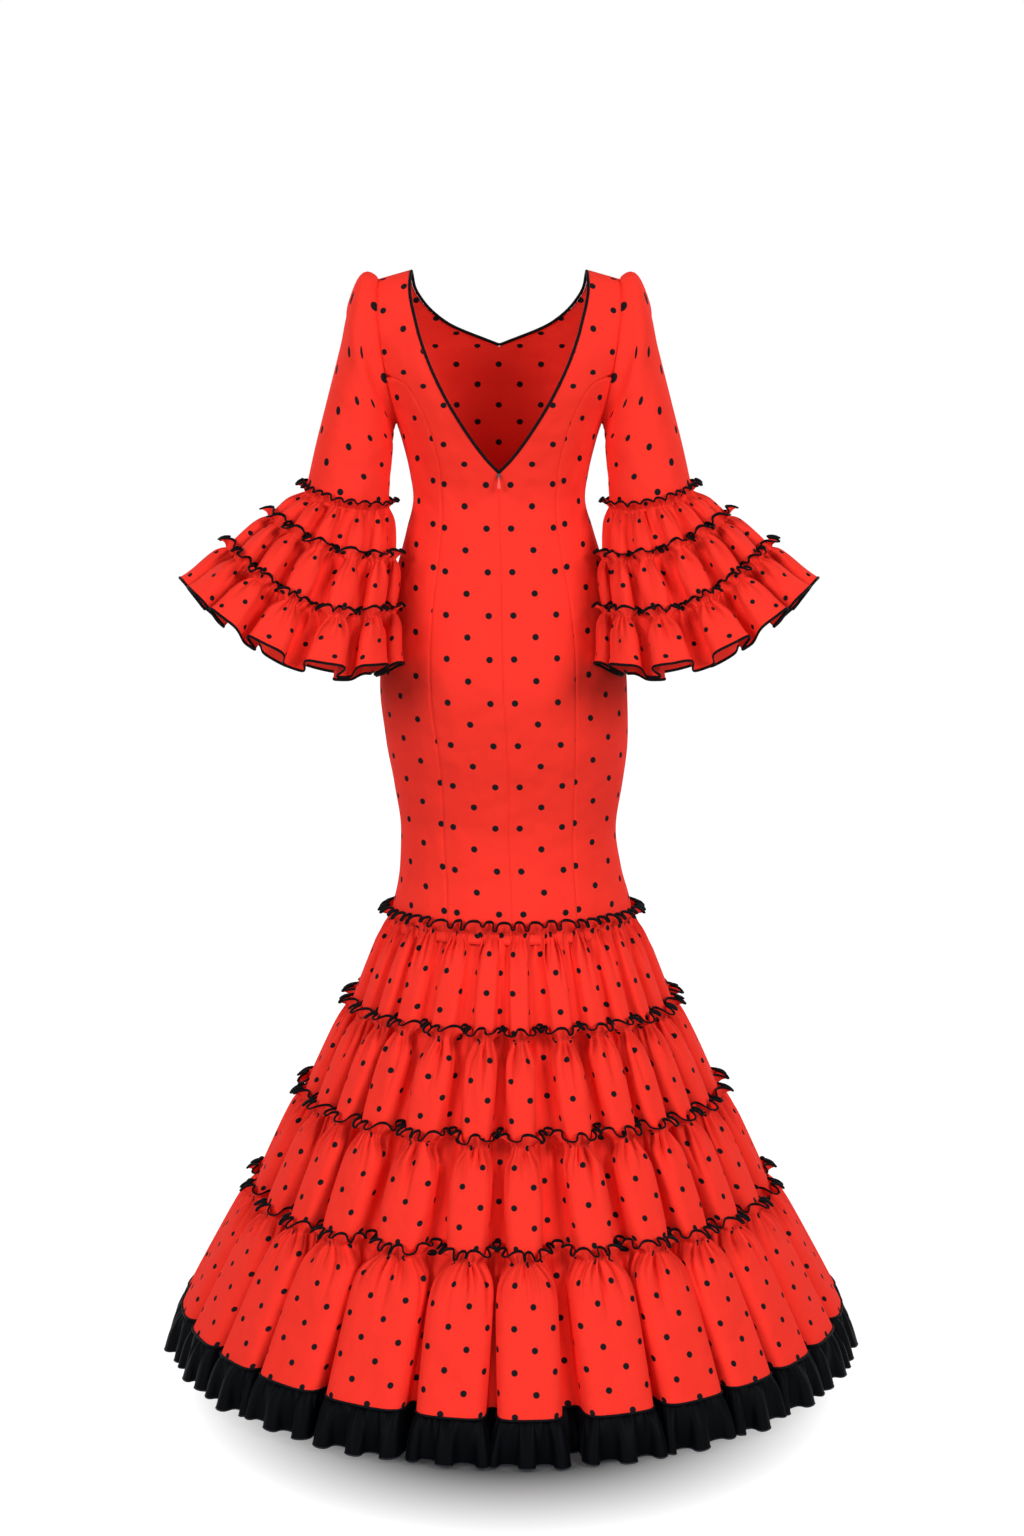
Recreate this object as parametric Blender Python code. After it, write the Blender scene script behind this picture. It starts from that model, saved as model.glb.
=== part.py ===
"""Flamenco dress: fitted to the knee, four gathered tiers, three flounces on each sleeve.

Metres, +Z up. The wearer faces -Y, so the back of the dress is +Y and the wearer's left is +X.
The origin lies between the two neck ends of the shoulder seams, where the dress hangs.
Every piece of cloth is a thin wall with its own gap to the pieces sewn to it.
"""
from collections import namedtuple
from math import acos, asin, cos, exp, pi, radians, sin, sqrt

import bmesh
import bpy
from mathutils import Matrix, Vector

# ---------------------------------------------------------------- driving sizes
CLOTH = 0.0016            # wall of every piece of cloth
SEAM_GAP = 0.0004         # space between two pieces sewn together
RING_GAP = 0.0007         # space where a gathered ring goes round a plainer tube

SHOULDER_DROP = 0.012     # fall of the shoulder seam from neck to armhole
SHOULDER_FADE = 0.14      # height below the shoulder where that fall has gone
BUST_X = 0.070            # bust point, sideways and down
BUST_Z = -0.172
BUST_SPREAD = 0.050
BUST_FULLNESS = 0.011

NECK_TIP = -0.2705        # lowest point of the back V in the cloth
FRONT_TIP = -0.105        # lowest point of the front neckline in the cloth
UNDERARM = -0.205
PRINCESS_TOP = -0.1365    # height where the princess seam leaves the armhole
BODY_HEM = -0.900         # the fitted part ends here, under tier 1

# Sections of the fitted part: half width, depth to the back and front, sideways shift.
BODY_COLUMNS = ("height", "side", "back", "front", "shift")
BODY_SECTIONS = (
    (0.0000, 0.2120, 0.0000, 0.0000, 0.0000),
    (-0.0055, 0.2115, 0.0240, 0.0200, 0.0000),
    (-0.0200, 0.2100, 0.0440, 0.0380, 0.0000),
    (-0.0430, 0.2050, 0.0620, 0.0560, 0.0000),
    (-0.0730, 0.1970, 0.0780, 0.0770, 0.0000),
    (-0.1050, 0.1870, 0.0890, 0.0960, 0.0000),
    (-0.1365, 0.1740, 0.0960, 0.1100, 0.0000),
    (-0.1680, 0.1580, 0.0980, 0.1180, 0.0000),
    (-0.2050, 0.1396, 0.0940, 0.1180, 0.0000),
    (-0.2350, 0.1303, 0.0880, 0.1120, 0.0000),
    (-0.2700, 0.1221, 0.0810, 0.1030, 0.0000),
    (-0.3060, 0.1172, 0.0750, 0.0940, 0.0000),
    (-0.3500, 0.1275, 0.0800, 0.0930, -0.0010),
    (-0.4200, 0.1475, 0.0980, 0.0970, -0.0030),
    (-0.4900, 0.1625, 0.1160, 0.1000, -0.0045),
    (-0.5700, 0.1702, 0.1270, 0.0990, -0.0060),
    (-0.6400, 0.1668, 0.1200, 0.0950, -0.0105),
    (-0.7000, 0.1580, 0.1080, 0.0910, -0.0125),
    (-0.7650, 0.1491, 0.1000, 0.0890, -0.0125),
    (-0.8200, 0.1540, 0.1080, 0.0980, -0.0155),
    (-0.8600, 0.1630, 0.1240, 0.1120, -0.0175),
    (-0.9000, 0.1720, 0.1400, 0.1270, -0.0175),
)

# Edges of the panels, as distances from the middle of the dress.
EDGE_COLUMNS = ("height", "distance")
BACK_NECK = (
    (0.000, 0.1205), (-0.020, 0.1220), (-0.073, 0.1120), (-0.115, 0.0985), (-0.163, 0.0765),
    (-0.210, 0.0485), (-0.250, 0.0195), (NECK_TIP, SEAM_GAP / 2),
)
FRONT_NECK = ((0.000, 0.1205), (-0.020, 0.1180), (-0.043, 0.1060), (-0.073, 0.0740))
ARMHOLE = (
    (0.0000, 0.1630), (-0.0200, 0.1640), (-0.0430, 0.1640), (-0.0730, 0.1615),
    (-0.1050, 0.1580), (-0.1365, 0.1527), (-0.1680, 0.1465), (-0.1870, 0.1425),
    (-0.2003, 0.1405), (UNDERARM, 0.1396),
)
PRINCESS = (
    (PRINCESS_TOP, 0.1518), (-0.150, 0.1262), (-0.177, 0.1077), (-0.228, 0.0879),
    (-0.274, 0.0787), (-0.320, 0.0775), (-0.379, 0.0831), (-0.443, 0.0927),
    (-0.522, 0.0985), (-0.578, 0.0975), (-0.642, 0.0930), (-0.719, 0.0890),
    (-0.820, 0.0880), (BODY_HEM, 0.0900),
)

# Heights of the rows of points down the panels.
ARM_ROWS = (0.0, -0.0055, -0.02, -0.043, -0.073, -0.105, PRINCESS_TOP, -0.150, -0.168,
            -0.187, -0.2003, UNDERARM)
LOWER_ROWS = (-0.232, -0.253, NECK_TIP, -0.306, -0.350, -0.410, -0.480, -0.560, -0.630,
              -0.700, -0.765, -0.820, -0.865, BODY_HEM)
BACK_CELLS = 4
SIDE_BACK_CELLS = 3
FRONT_CELLS = 6
NORMAL_STEP = 0.0005      # step, in metres and radians, used to find the surface's direction

# Flutes of the skirt: where each crest stands, in degrees from the centre back, positive
# towards the wearer's right. The folds fall through all four tiers.
SKIRT_CRESTS = (-82, -66, -53.5, -42, -25, -9.3, 2.5, 18, 32, 44, 55.5, 68, 83,
                100, 118, 135, 153, 171, 189, 207, 225, 243, 260)
CREST_WIDTH = 0.65        # below 1 the crests are wide and the valleys narrow
HEADING_RISE = 0.016      # a heading stands this high above its gathers
HEADING_FLARE = 0.010     # and leans out this far over a crest
VALLEY_LEAN = 0.20        # share of that lean left in a valley
PUFF_DROP = 0.030         # depth below the gathers where a tier stands out most
VALLEY_PUFF = 0.005
CREST_PUFF = 0.014

# Skirt seams: height of the gathers, radius over the crests, depth of the flutes.
SkirtSeam = namedtuple("SkirtSeam", "height radius depth")
SKIRT_SEAMS = (
    SkirtSeam(-0.888, 0.170, 0.000),
    SkirtSeam(-1.015, 0.228, 0.021),
    SkirtSeam(-1.142, 0.295, 0.029),
    SkirtSeam(-1.278, 0.368, 0.036),
    SkirtSeam(-1.438, 0.466, 0.044),
)
BACK_DIP = 0.017          # the hem hangs this much lower at the back
BACK_DIP_TURN = 6         # degrees from the centre back to its lowest point
SKIRT_SHIFT = -0.0175
SKIRT_BACK = 0.97         # depth over width, towards the back and the front
SKIRT_FRONT = 0.95

FRILL_LAP = 0.005         # the frill is sewn this far up inside the hem
FRILL_GAP = 0.0012
FRILL_DROP = 0.056
FRILL_FLARE = 0.022
FRILL_WAVE = 0.006
FRILL_WAVE_COLUMNS = 4    # columns of points in one wave of the frill

# Sleeve: points on its outer and inner side at each ring, its half depth, how far it has
# left the armhole's own outline, and how far its back and front bow outwards.
SleeveRing = namedtuple("SleeveRing", "outer_x outer_z inner_x inner_z middle_y half_y own bow")
SLEEVE_RINGS = (
    SleeveRing(0.1790, -0.0060, 0.1404, -0.2085, 0.001, 0.056, 0.50, 0.0150),
    SleeveRing(0.1995, -0.0420, 0.1410, -0.2140, 0.003, 0.056, 1.00, 0.0100),
    SleeveRing(0.2145, -0.1020, 0.1422, -0.2260, 0.006, 0.055, 1.00, 0.0040),
    SleeveRing(0.2325, -0.1720, 0.1445, -0.2460, 0.012, 0.054, 1.00, 0.0000),
    SleeveRing(0.2490, -0.2360, 0.1475, -0.2800, 0.017, 0.054, 1.00, 0.0000),
    SleeveRing(0.2625, -0.2964, 0.1504, -0.3180, 0.022, 0.054, 1.00, 0.0000),
)
# Rings where the sleeve flounces are gathered on, and the hem of the last one.
# Sag lowers the back and front of a ring, rise lifts its back and drops its front,
# and skew carries its inner side backwards, round the hip.
FlounceRing = namedtuple(
    "FlounceRing", "outer_x outer_z inner_x inner_z middle_y half_y sag rise skew depth")
FLOUNCE_RINGS = (
    FlounceRing(0.2625, -0.2964, 0.1504, -0.3180, 0.022, 0.054, 0.008, 0.000, 0.000, 0.000),
    FlounceRing(0.3123, -0.3335, 0.1400, -0.3904, 0.036, 0.078, 0.018, 0.005, 0.020, 0.012),
    FlounceRing(0.3687, -0.3759, 0.1400, -0.4600, 0.048, 0.102, 0.041, 0.013, 0.040, 0.018),
    FlounceRing(0.4285, -0.4269, 0.1330, -0.5331, 0.060, 0.125, 0.050, 0.022, 0.050, 0.026),
)
# Crests of the sleeve flutes, in degrees from the outer side, positive towards the back.
SLEEVE_CRESTS = (8, 32, 54, 79, 111, 143, 178, 217, 258, 310)
SLEEVE_CLEARANCE = 0.018  # the flounces stay this far from the body of the dress
SLEEVE_TURN = 0.010       # the sleeve's tube runs on this far inside its first flounce
SLEEVE_HEADING_RISE = 0.014
SLEEVE_HEADING_FLARE = 0.006
SLEEVE_PUFF_DROP = 0.018
SLEEVE_VALLEY_PUFF = 0.002
SLEEVE_CREST_PUFF = 0.008

PIPING_RADIUS = 0.0019
PIPING_SIDES = 6
PIPING_GAP = 0.0005
PIPING_STOP = 0.002       # its two ends stop this far above the tip of the V

SLIDER_TOP = -0.2685      # zip slider: a small block on the centre seam, with its bridge
SLIDER_LENGTH = 0.0070
SLIDER_WIDTH = 0.0048
SLIDER_DEPTH = 0.0018
SLIDER_CORNER = 0.0010
BRIDGE_GAP = 0.0026       # clear width between the two lugs of the bridge
LUG_WIDTH = 0.0009
LUG_HEIGHT = 0.0018
LUG_PAST_PIN = 0.0008
PIN_DROP = 0.0052         # the pin lies this far below the slider's top
PIN_OFFSET = 0.0016       # and this far off its face
PIN_RADIUS = 0.0005
BARREL_RADIUS = 0.0013    # the ring of the pull tab, round the pin
BARREL_HOLE = 0.0009
BARREL_WIDTH = 0.0020
NECK_WIDTH = 0.0018       # the tab just below its ring
NECK_LENGTH = 0.0021
PULL_LENGTH = 0.0150
PULL_WIDTH = 0.0045
PULL_THICKNESS = 0.0012
PULL_SHOULDER = 15        # degrees above the level where the tab's round end begins
PULL_ARC_STEPS = 6        # straight steps in each half of that end
ROD_SIDES = 12


# ---------------------------------------------------------------- curves and sections
def table_value(table, columns, name, place):
    """Read a column of a table at a height, on a smooth curve through its rows."""
    index = columns.index(name)
    heights = [row[0] for row in table]
    values = [row[index] for row in table]
    if place >= heights[0]:
        return values[0]
    if place <= heights[-1]:
        return values[-1]
    step = 0
    while heights[step + 1] > place:
        step += 1
    slopes = []
    for left in range(len(table) - 1):
        slopes.append((values[left + 1] - values[left]) / (heights[left + 1] - heights[left]))

    def tangent(node):
        if node == 0 or node == len(table) - 1:
            return slopes[min(node, len(slopes) - 1)]
        before, after = slopes[node - 1], slopes[node]
        return 0.0 if before * after <= 0.0 else 2.0 * before * after / (before + after)

    span = heights[step + 1] - heights[step]
    part = (place - heights[step]) / span
    return (values[step] * (1 + 2 * part) * (1 - part) ** 2
            + tangent(step) * span * part * (1 - part) ** 2
            + values[step + 1] * part * part * (3 - 2 * part)
            + tangent(step + 1) * span * part * part * (part - 1))


def body_value(name, height):
    return table_value(BODY_SECTIONS, BODY_COLUMNS, name, height)


def edge_value(edge, height):
    return table_value(edge, EDGE_COLUMNS, "distance", height)


def body_point(face, height, turn):
    """A point on the outside of the fitted part.

    face is "back" or "front", turn is the angle round the section from the middle of that
    face, positive towards the wearer's left.
    """
    across = body_value("side", height) * sin(turn)
    out = body_value(face, height) * cos(turn)
    if face == "front":
        off_point = ((abs(across) - BUST_X) ** 2 + (height - BUST_Z) ** 2) / BUST_SPREAD ** 2
        out += BUST_FULLNESS * exp(-off_point) * max(cos(turn), 0.0)
    neck, arm = BACK_NECK[0][1], ARMHOLE[0][1]
    down_strap = min(max((abs(across) - neck) / (arm - neck), 0.0), 1.0)
    fade = max(0.0, 1.0 + height / SHOULDER_FADE)
    drop = SHOULDER_DROP * down_strap * fade
    sign = 1.0 if face == "back" else -1.0
    return Vector((across + body_value("shift", height), sign * out, height - drop))


def body_turn(height, distance):
    """Angle round a section at a distance from the middle."""
    return asin(min(1.0, distance / body_value("side", height)))


def side_turn(face, height):
    """Angle of the side seam, half a seam gap short of the side."""
    return pi / 2 - SEAM_GAP / 2 / body_value(face, height)


def body_normal(face, height, turn):
    """Outward direction of the fitted part, the same for two panels at their seam."""
    if height > -NORMAL_STEP:
        return Vector((0.0, 0.0, 1.0))
    left = body_point(face, height, turn + NORMAL_STEP)
    right = body_point(face, height, turn - NORMAL_STEP)
    low = body_point(face, height - NORMAL_STEP, turn)
    high = body_point(face, height + NORMAL_STEP, turn)
    normal = (left - right).cross(low - high).normalized()
    middle = Vector((body_value("shift", height), 0.0, height))
    if normal.dot(body_point(face, height, turn) - middle) < 0.0:
        normal.negate()
    return normal


# ---------------------------------------------------------------- cloth walls
def material(name, colour, roughness, metallic=0.0):
    """A plain finish for one kind of piece."""
    finish = bpy.data.materials.new(name)
    finish.use_nodes = True
    shader = finish.node_tree.nodes["Principled BSDF"]
    shader.inputs["Base Color"].default_value = (*colour, 1.0)
    shader.inputs["Roughness"].default_value = roughness
    shader.inputs["Metallic"].default_value = metallic
    finish.diffuse_color = (*colour, 1.0)
    return finish


def add_object(name, mesh, finish, location=(0.0, 0.0, 0.0)):
    """Turn a bmesh into a named object."""
    bmesh.ops.recalc_face_normals(mesh, faces=mesh.faces)
    data = bpy.data.meshes.new(name)
    mesh.to_mesh(data)
    mesh.free()
    data.materials.append(finish)
    made = bpy.data.objects.new(name, data)
    made.location = location
    bpy.context.collection.objects.link(made)
    return made


def cloth_shell(name, points, normals, quads, finish):
    """A closed wall: the outer faces, the same faces a cloth's thickness in, and the rim."""
    mesh = bmesh.new()
    outer = [mesh.verts.new(point) for point in points]
    inner = [mesh.verts.new(point - normal * CLOTH) for point, normal in zip(points, normals)]
    used = {}
    for a, b, c, d in quads:
        mesh.faces.new((outer[a], outer[b], outer[c], outer[d]))
        mesh.faces.new((inner[a], inner[d], inner[c], inner[b]))
        for edge in ((a, b), (b, c), (c, d), (d, a)):
            used[edge] = True
    for start, end in used:
        if (end, start) not in used:
            mesh.faces.new((outer[end], outer[start], inner[start], inner[end]))
    return add_object(name, mesh, finish)


def grid_normals(rows, middle_of):
    """Outward directions at the points of a grid that closes on itself sideways."""
    normals = []
    for number, row in enumerate(rows):
        above = rows[max(number - 1, 0)]
        below = rows[min(number + 1, len(rows) - 1)]
        line = []
        for place, point in enumerate(row):
            round_it = row[(place + 1) % len(row)] - row[place - 1]
            down_it = below[place] - above[place]
            normal = round_it.cross(down_it).normalized()
            if normal.dot(point - middle_of(row)) < 0.0:
                normal.negate()
            line.append(normal)
        normals.append(line)
    return normals


def ring_middle(row):
    return sum(row, Vector()) / len(row)


def cloth_tube(name, rows, finish, gathers=None):
    """A wall round a hollow from rings of outer points; returns its grid of normals.

    gathers are the upper piece's normals, which a heading and its gathers share.
    """
    normals = grid_normals(rows, ring_middle)
    if gathers:
        normals[0] = normals[1] = gathers
    count = len(rows[0])
    quads = []
    for number in range(len(rows) - 1):
        for place in range(count):
            after = (place + 1) % count
            quads.append((number * count + place, number * count + after,
                          (number + 1) * count + after, (number + 1) * count + place))
    points = [point for row in rows for point in row]
    flat = [normal for row in normals for normal in row]
    cloth_shell(name, points, flat, quads, finish)
    return normals


def panel_grid(face, heights, near_edge, far_edge, cells, side):
    """Points and normals of a panel between two edges, on one side of the middle.

    near_edge and far_edge give the angle round the section at a height.
    """
    points, normals = [], []
    for height in heights:
        near, far = near_edge(height), far_edge(height)
        for cell in range(cells + 1):
            turn = side * (near + (far - near) * cell / cells)
            point = body_point(face, height, turn)
            if height == heights[0] == 0.0:
                point.y = SEAM_GAP / 2 if face == "back" else -SEAM_GAP / 2
            points.append(point)
            normals.append(body_normal(face, height, turn))
    return points, normals


def panel_quads(rows, cells):
    quads = []
    wide = cells + 1
    for row in range(rows - 1):
        for cell in range(cells):
            start = row * wide + cell
            quads.append((start, start + 1, start + wide + 1, start + wide))
    return quads


# ---------------------------------------------------------------- the fitted part
def back_inner_edge(height):
    """Neckline down to the tip of the V, then the centre back seam."""
    distance = SEAM_GAP / 2 if height <= NECK_TIP else edge_value(BACK_NECK, height)
    return body_turn(height, distance)


def back_outer_edge(height):
    """Armhole down to the princess seam, then that seam."""
    if height > PRINCESS_TOP:
        return body_turn(height, edge_value(ARMHOLE, height))
    return body_turn(height, edge_value(PRINCESS, height) - SEAM_GAP / 2)


def side_back_inner_edge(height):
    return body_turn(height, edge_value(PRINCESS, height) + SEAM_GAP / 2)


def armhole_or_side(face, height):
    """Armhole down to the underarm, then the side seam."""
    if height > UNDERARM:
        return body_turn(height, edge_value(ARMHOLE, height))
    return side_turn(face, height)


def make_back(side, label, finish):
    heights = ARM_ROWS + LOWER_ROWS
    points, normals = panel_grid("back", heights, back_inner_edge, back_outer_edge,
                                 BACK_CELLS, side)
    cloth_shell("body_back_" + label, points, normals,
                panel_quads(len(heights), BACK_CELLS), finish)


def make_side_back(side, label, finish):
    heights = tuple(height for height in ARM_ROWS + LOWER_ROWS if height <= PRINCESS_TOP)
    points, normals = panel_grid("back", heights, side_back_inner_edge,
                                 lambda height: armhole_or_side("back", height),
                                 SIDE_BACK_CELLS, side)
    cloth_shell("body_side_back_" + label, points, normals,
                panel_quads(len(heights), SIDE_BACK_CELLS), finish)


def front_inner_edge(height):
    """Neckline down to its lowest point; below it the two halves meet in the middle."""
    return 0.0 if height <= FRONT_TIP else body_turn(height, edge_value(FRONT_NECK, height))


def make_front(finish):
    """Both halves of the front, joined below the neckline into one panel."""
    heights = ARM_ROWS + LOWER_ROWS
    wide = FRONT_CELLS + 1
    points, normals, quads = [], [], []
    for side in (1.0, -1.0):
        start = len(points)
        half_points, half_normals = panel_grid(
            "front", heights, front_inner_edge,
            lambda height: armhole_or_side("front", height), FRONT_CELLS, side)
        points += half_points
        normals += half_normals
        for a, b, c, d in panel_quads(len(heights), FRONT_CELLS):
            quad = (a + start, b + start, c + start, d + start)
            quads.append(quad if side > 0 else quad[::-1])
    half = len(heights) * wide
    middle = {}
    for row, height in enumerate(heights):
        if height <= FRONT_TIP:
            middle[half + row * wide] = row * wide
    quads = [tuple(middle.get(corner, corner) for corner in quad) for quad in quads]
    kept = sorted({corner for quad in quads for corner in quad})
    order = {corner: number for number, corner in enumerate(kept)}
    quads = [tuple(order[corner] for corner in quad) for quad in quads]
    cloth_shell("body_front", [points[corner] for corner in kept],
                [normals[corner] for corner in kept], quads, finish)


# ---------------------------------------------------------------- flutes and tiers
def flute_columns(crests):
    """Columns round a fluted ring: valley, flank, crest, flank of each flute.

    Each is its angle in radians and how far it stands towards the crest, from 0 to 1.
    """
    columns = []
    count = len(crests)
    flank = cos(pi / 4) ** CREST_WIDTH
    for number, crest in enumerate(crests):
        before = crests[number - 1] - (360 if number == 0 else 0)
        after = crests[(number + 1) % count] + (360 if number == count - 1 else 0)
        valley = (before + crest) / 2
        next_valley = (crest + after) / 2
        columns.append((radians(valley), 0.0))
        columns.append((radians((valley + crest) / 2), flank))
        columns.append((radians(crest), 1.0))
        columns.append((radians((crest + next_valley) / 2), flank))
    return columns


def tier_rows(seam, down, out, columns, sizes, bottom):
    """Rings of outer points of one gathered tier, from its heading to its bottom.

    seam, down and out are the upper piece's points, downward directions and normals along
    the gathers. The next tier will be sewn to the points of the bottom ring.
    """
    rise, flare, puff_drop, valley_puff, crest_puff, gap = sizes
    heading, gathers, puff = [], [], []
    for place, point in enumerate(seam):
        stand = columns[place][1]
        off = gap + CLOTH
        gathers.append(point + out[place] * off)
        lean = flare * (VALLEY_LEAN + (1.0 - VALLEY_LEAN) * stand)
        heading.append(point - down[place] * rise + out[place] * (off + lean))
        fullness = valley_puff + (crest_puff - valley_puff) * stand
        puff.append(point + down[place] * puff_drop + out[place] * (off + fullness))
    return [heading, gathers, puff, bottom]


def seam_ring(rows, normals):
    """Points, downward directions and normals where the next tier is gathered on."""
    down = [(end - start).normalized() for start, end in zip(rows[-2], rows[-1])]
    return rows[-1], down, normals[-1]


def with_middle_row(rows):
    """One more ring halfway down the last fall of a tier."""
    middle = [(start + end) / 2 for start, end in zip(rows[-2], rows[-1])]
    return rows[:-1] + [middle, rows[-1]]


def skirt_ring(seam, columns, dip):
    """Ring of points on the skirt's seam: crests at its radius, valleys further in."""
    ring = []
    for turn, stand in columns:
        reach = seam.radius - seam.depth * (1.0 - stand)
        deep = SKIRT_BACK if cos(turn) > 0 else SKIRT_FRONT
        low = seam.height - dip * max(cos(turn - radians(BACK_DIP_TURN)), 0.0) ** 2
        ring.append(Vector((SKIRT_SHIFT - reach * sin(turn), reach * deep * cos(turn), low)))
    return ring


def make_skirt(finish):
    """Four tiers; returns the last tier's rings and normals, for the frill."""
    columns = flute_columns(SKIRT_CRESTS)
    sizes = (HEADING_RISE, HEADING_FLARE, PUFF_DROP, VALLEY_PUFF, CREST_PUFF)
    top = SKIRT_SEAMS[0].height
    seam, down, out = [], [], []
    for turn, _ in columns:
        face = "back" if cos(turn) > 0 else "front"
        round_face = -turn if face == "back" else turn - pi
        point = body_point(face, top, round_face)
        below = body_point(face, BODY_HEM, round_face)
        seam.append(point)
        down.append((below - point).normalized())
        out.append(body_normal(face, top, round_face))
    gap = RING_GAP
    for number in range(1, len(SKIRT_SEAMS)):
        last = number == len(SKIRT_SEAMS) - 1
        bottom = skirt_ring(SKIRT_SEAMS[number], columns, BACK_DIP if last else 0.0)
        rows = tier_rows(seam, down, out, columns, (*sizes, gap), bottom)
        if last:
            rows = with_middle_row(rows)
        normals = cloth_tube("skirt_tier_" + str(number), rows, finish, out)
        seam, down, out = seam_ring(rows, normals)
        gap = SEAM_GAP
    return rows, normals


def make_frill(rows, normals, finish):
    """Black frill sewn inside the hem of the last tier, with two columns for each of its."""
    hem = rows[-1]
    inside = []
    for place, point in enumerate(hem):
        up = (rows[-2][place] - point).normalized()
        inner = point + up * FRILL_LAP - normals[-1][place] * (CLOTH + FRILL_GAP)
        inside.append(inner)
    top, bottom = [], []
    count = len(hem) * 2
    for place in range(count):
        left, right = place // 2, (place // 2 + place % 2) % len(hem)
        start = (inside[left] + inside[right]) / 2
        edge = (hem[left] + hem[right]) / 2
        away = Vector((edge.x - SKIRT_SHIFT, edge.y, 0.0)).normalized()
        wave = FRILL_WAVE * sin(2 * pi * place / FRILL_WAVE_COLUMNS)
        top.append(start)
        bottom.append(edge + away * (FRILL_FLARE + wave) - Vector((0.0, 0.0, FRILL_DROP)))
    cloth_tube("hem_frill", [top, bottom], finish)


# ---------------------------------------------------------------- sleeves
def armhole_ring():
    """Points round the left armhole, from the shoulder down the back and up the front."""
    points, angles = [], []
    shift = Vector((SEAM_GAP, 0.0, 0.0))
    top = body_point("back", 0.0, armhole_or_side("back", 0.0))
    bottom = body_point("back", UNDERARM, armhole_or_side("back", UNDERARM))
    middle, half = (top.z + bottom.z) / 2, (top.z - bottom.z) / 2
    for face, heights in (("back", ARM_ROWS), ("front", ARM_ROWS[-2:0:-1])):
        for height in heights:
            point = body_point(face, height, armhole_or_side(face, height))
            around = acos(max(-1.0, min(1.0, (point.z - middle) / half)))
            points.append(point + shift)
            angles.append(around if face == "back" else 2 * pi - around)
    return points, angles


def sleeve_ring(row, angles, armhole):
    """A ring between its outer and inner points, shaped like the armhole near it."""
    ring = []
    for around, edge in zip(angles, armhole):
        across, deep = cos(around), sin(around)
        x = (row.outer_x + row.inner_x) / 2 + (row.outer_x - row.inner_x) / 2 * across
        x += row.bow * deep ** 2
        z = (row.outer_z + row.inner_z) / 2 + (row.outer_z - row.inner_z) / 2 * across
        y = row.middle_y + row.half_y * deep
        ring.append(Vector((x, edge.y + (y - edge.y) * row.own, z)))
    return ring


def clear_of_body(point, clearance):
    """Move a point sideways until it is clear of the fitted part."""
    face = "back" if point.y > 0 else "front"
    shift = body_value("shift", point.z)
    wide = body_value("side", point.z) + clearance
    deep = body_value(face, point.z) + clearance
    reach = sqrt(((point.x - shift) / wide) ** 2 + (point.y / deep) ** 2)
    if reach >= 1.0:
        return point
    return Vector((shift + (point.x - shift) / reach, point.y / reach, point.z))


def flounce_ring(row, columns):
    """Ring where a sleeve flounce is gathered or ends, with its flutes."""
    middle = Vector(((row.outer_x + row.inner_x) / 2, row.middle_y,
                     (row.outer_z + row.inner_z) / 2))
    ring = []
    for around, stand in columns:
        across, deep = cos(around), sin(around)
        point = middle.copy()
        point.x += (row.outer_x - row.inner_x) / 2 * across
        point.y += row.half_y * deep + row.skew * (1.0 - across) / 2
        point.z += (row.outer_z - row.inner_z) / 2 * across
        point.z += row.rise * deep - row.sag * deep ** 2
        inwards = (middle - point).normalized() * row.depth * (1.0 - stand)
        ring.append(clear_of_body(point + inwards, SLEEVE_CLEARANCE))
    return ring


def mirrored(rows, side):
    return [[Vector((side * point.x, point.y, point.z)) for point in row] for row in rows]


def make_sleeve(side, label, finish):
    """One sleeve and its three flounces, built on the left and mirrored for the right."""
    armhole, angles = armhole_ring()
    rows = [armhole] + [sleeve_ring(row, angles, armhole) for row in SLEEVE_RINGS]
    end = [point + (point - above).normalized() * SLEEVE_TURN
           for above, point in zip(rows[-2], rows[-1])]
    cloth_tube("sleeve_" + label, mirrored(rows[:-1] + [end], side), finish)

    columns = flute_columns(SLEEVE_CRESTS)
    turns = [turn for turn, _ in columns]
    no_armhole = [Vector()] * len(turns)
    seam = sleeve_ring(SLEEVE_RINGS[-1], turns, no_armhole)
    above = sleeve_ring(SLEEVE_RINGS[-2], turns, no_armhole)
    down = [(low - high).normalized() for low, high in zip(seam, above)]
    out = grid_normals([above, seam], ring_middle)[-1]
    sizes = (SLEEVE_HEADING_RISE, SLEEVE_HEADING_FLARE, SLEEVE_PUFF_DROP,
             SLEEVE_VALLEY_PUFF, SLEEVE_CREST_PUFF)
    gap = RING_GAP
    for number in range(1, len(FLOUNCE_RINGS)):
        bottom = flounce_ring(FLOUNCE_RINGS[number], columns)
        rows = tier_rows(seam, down, out, columns, (*sizes, gap), bottom)
        gathers = mirrored([out], side)[0]
        cloth_tube("sleeve_flounce_" + str(number) + "_" + label, mirrored(rows, side),
                   finish, gathers)
        seam, down, out = seam_ring(rows, grid_normals(rows, ring_middle))
        gap = SEAM_GAP


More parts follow.
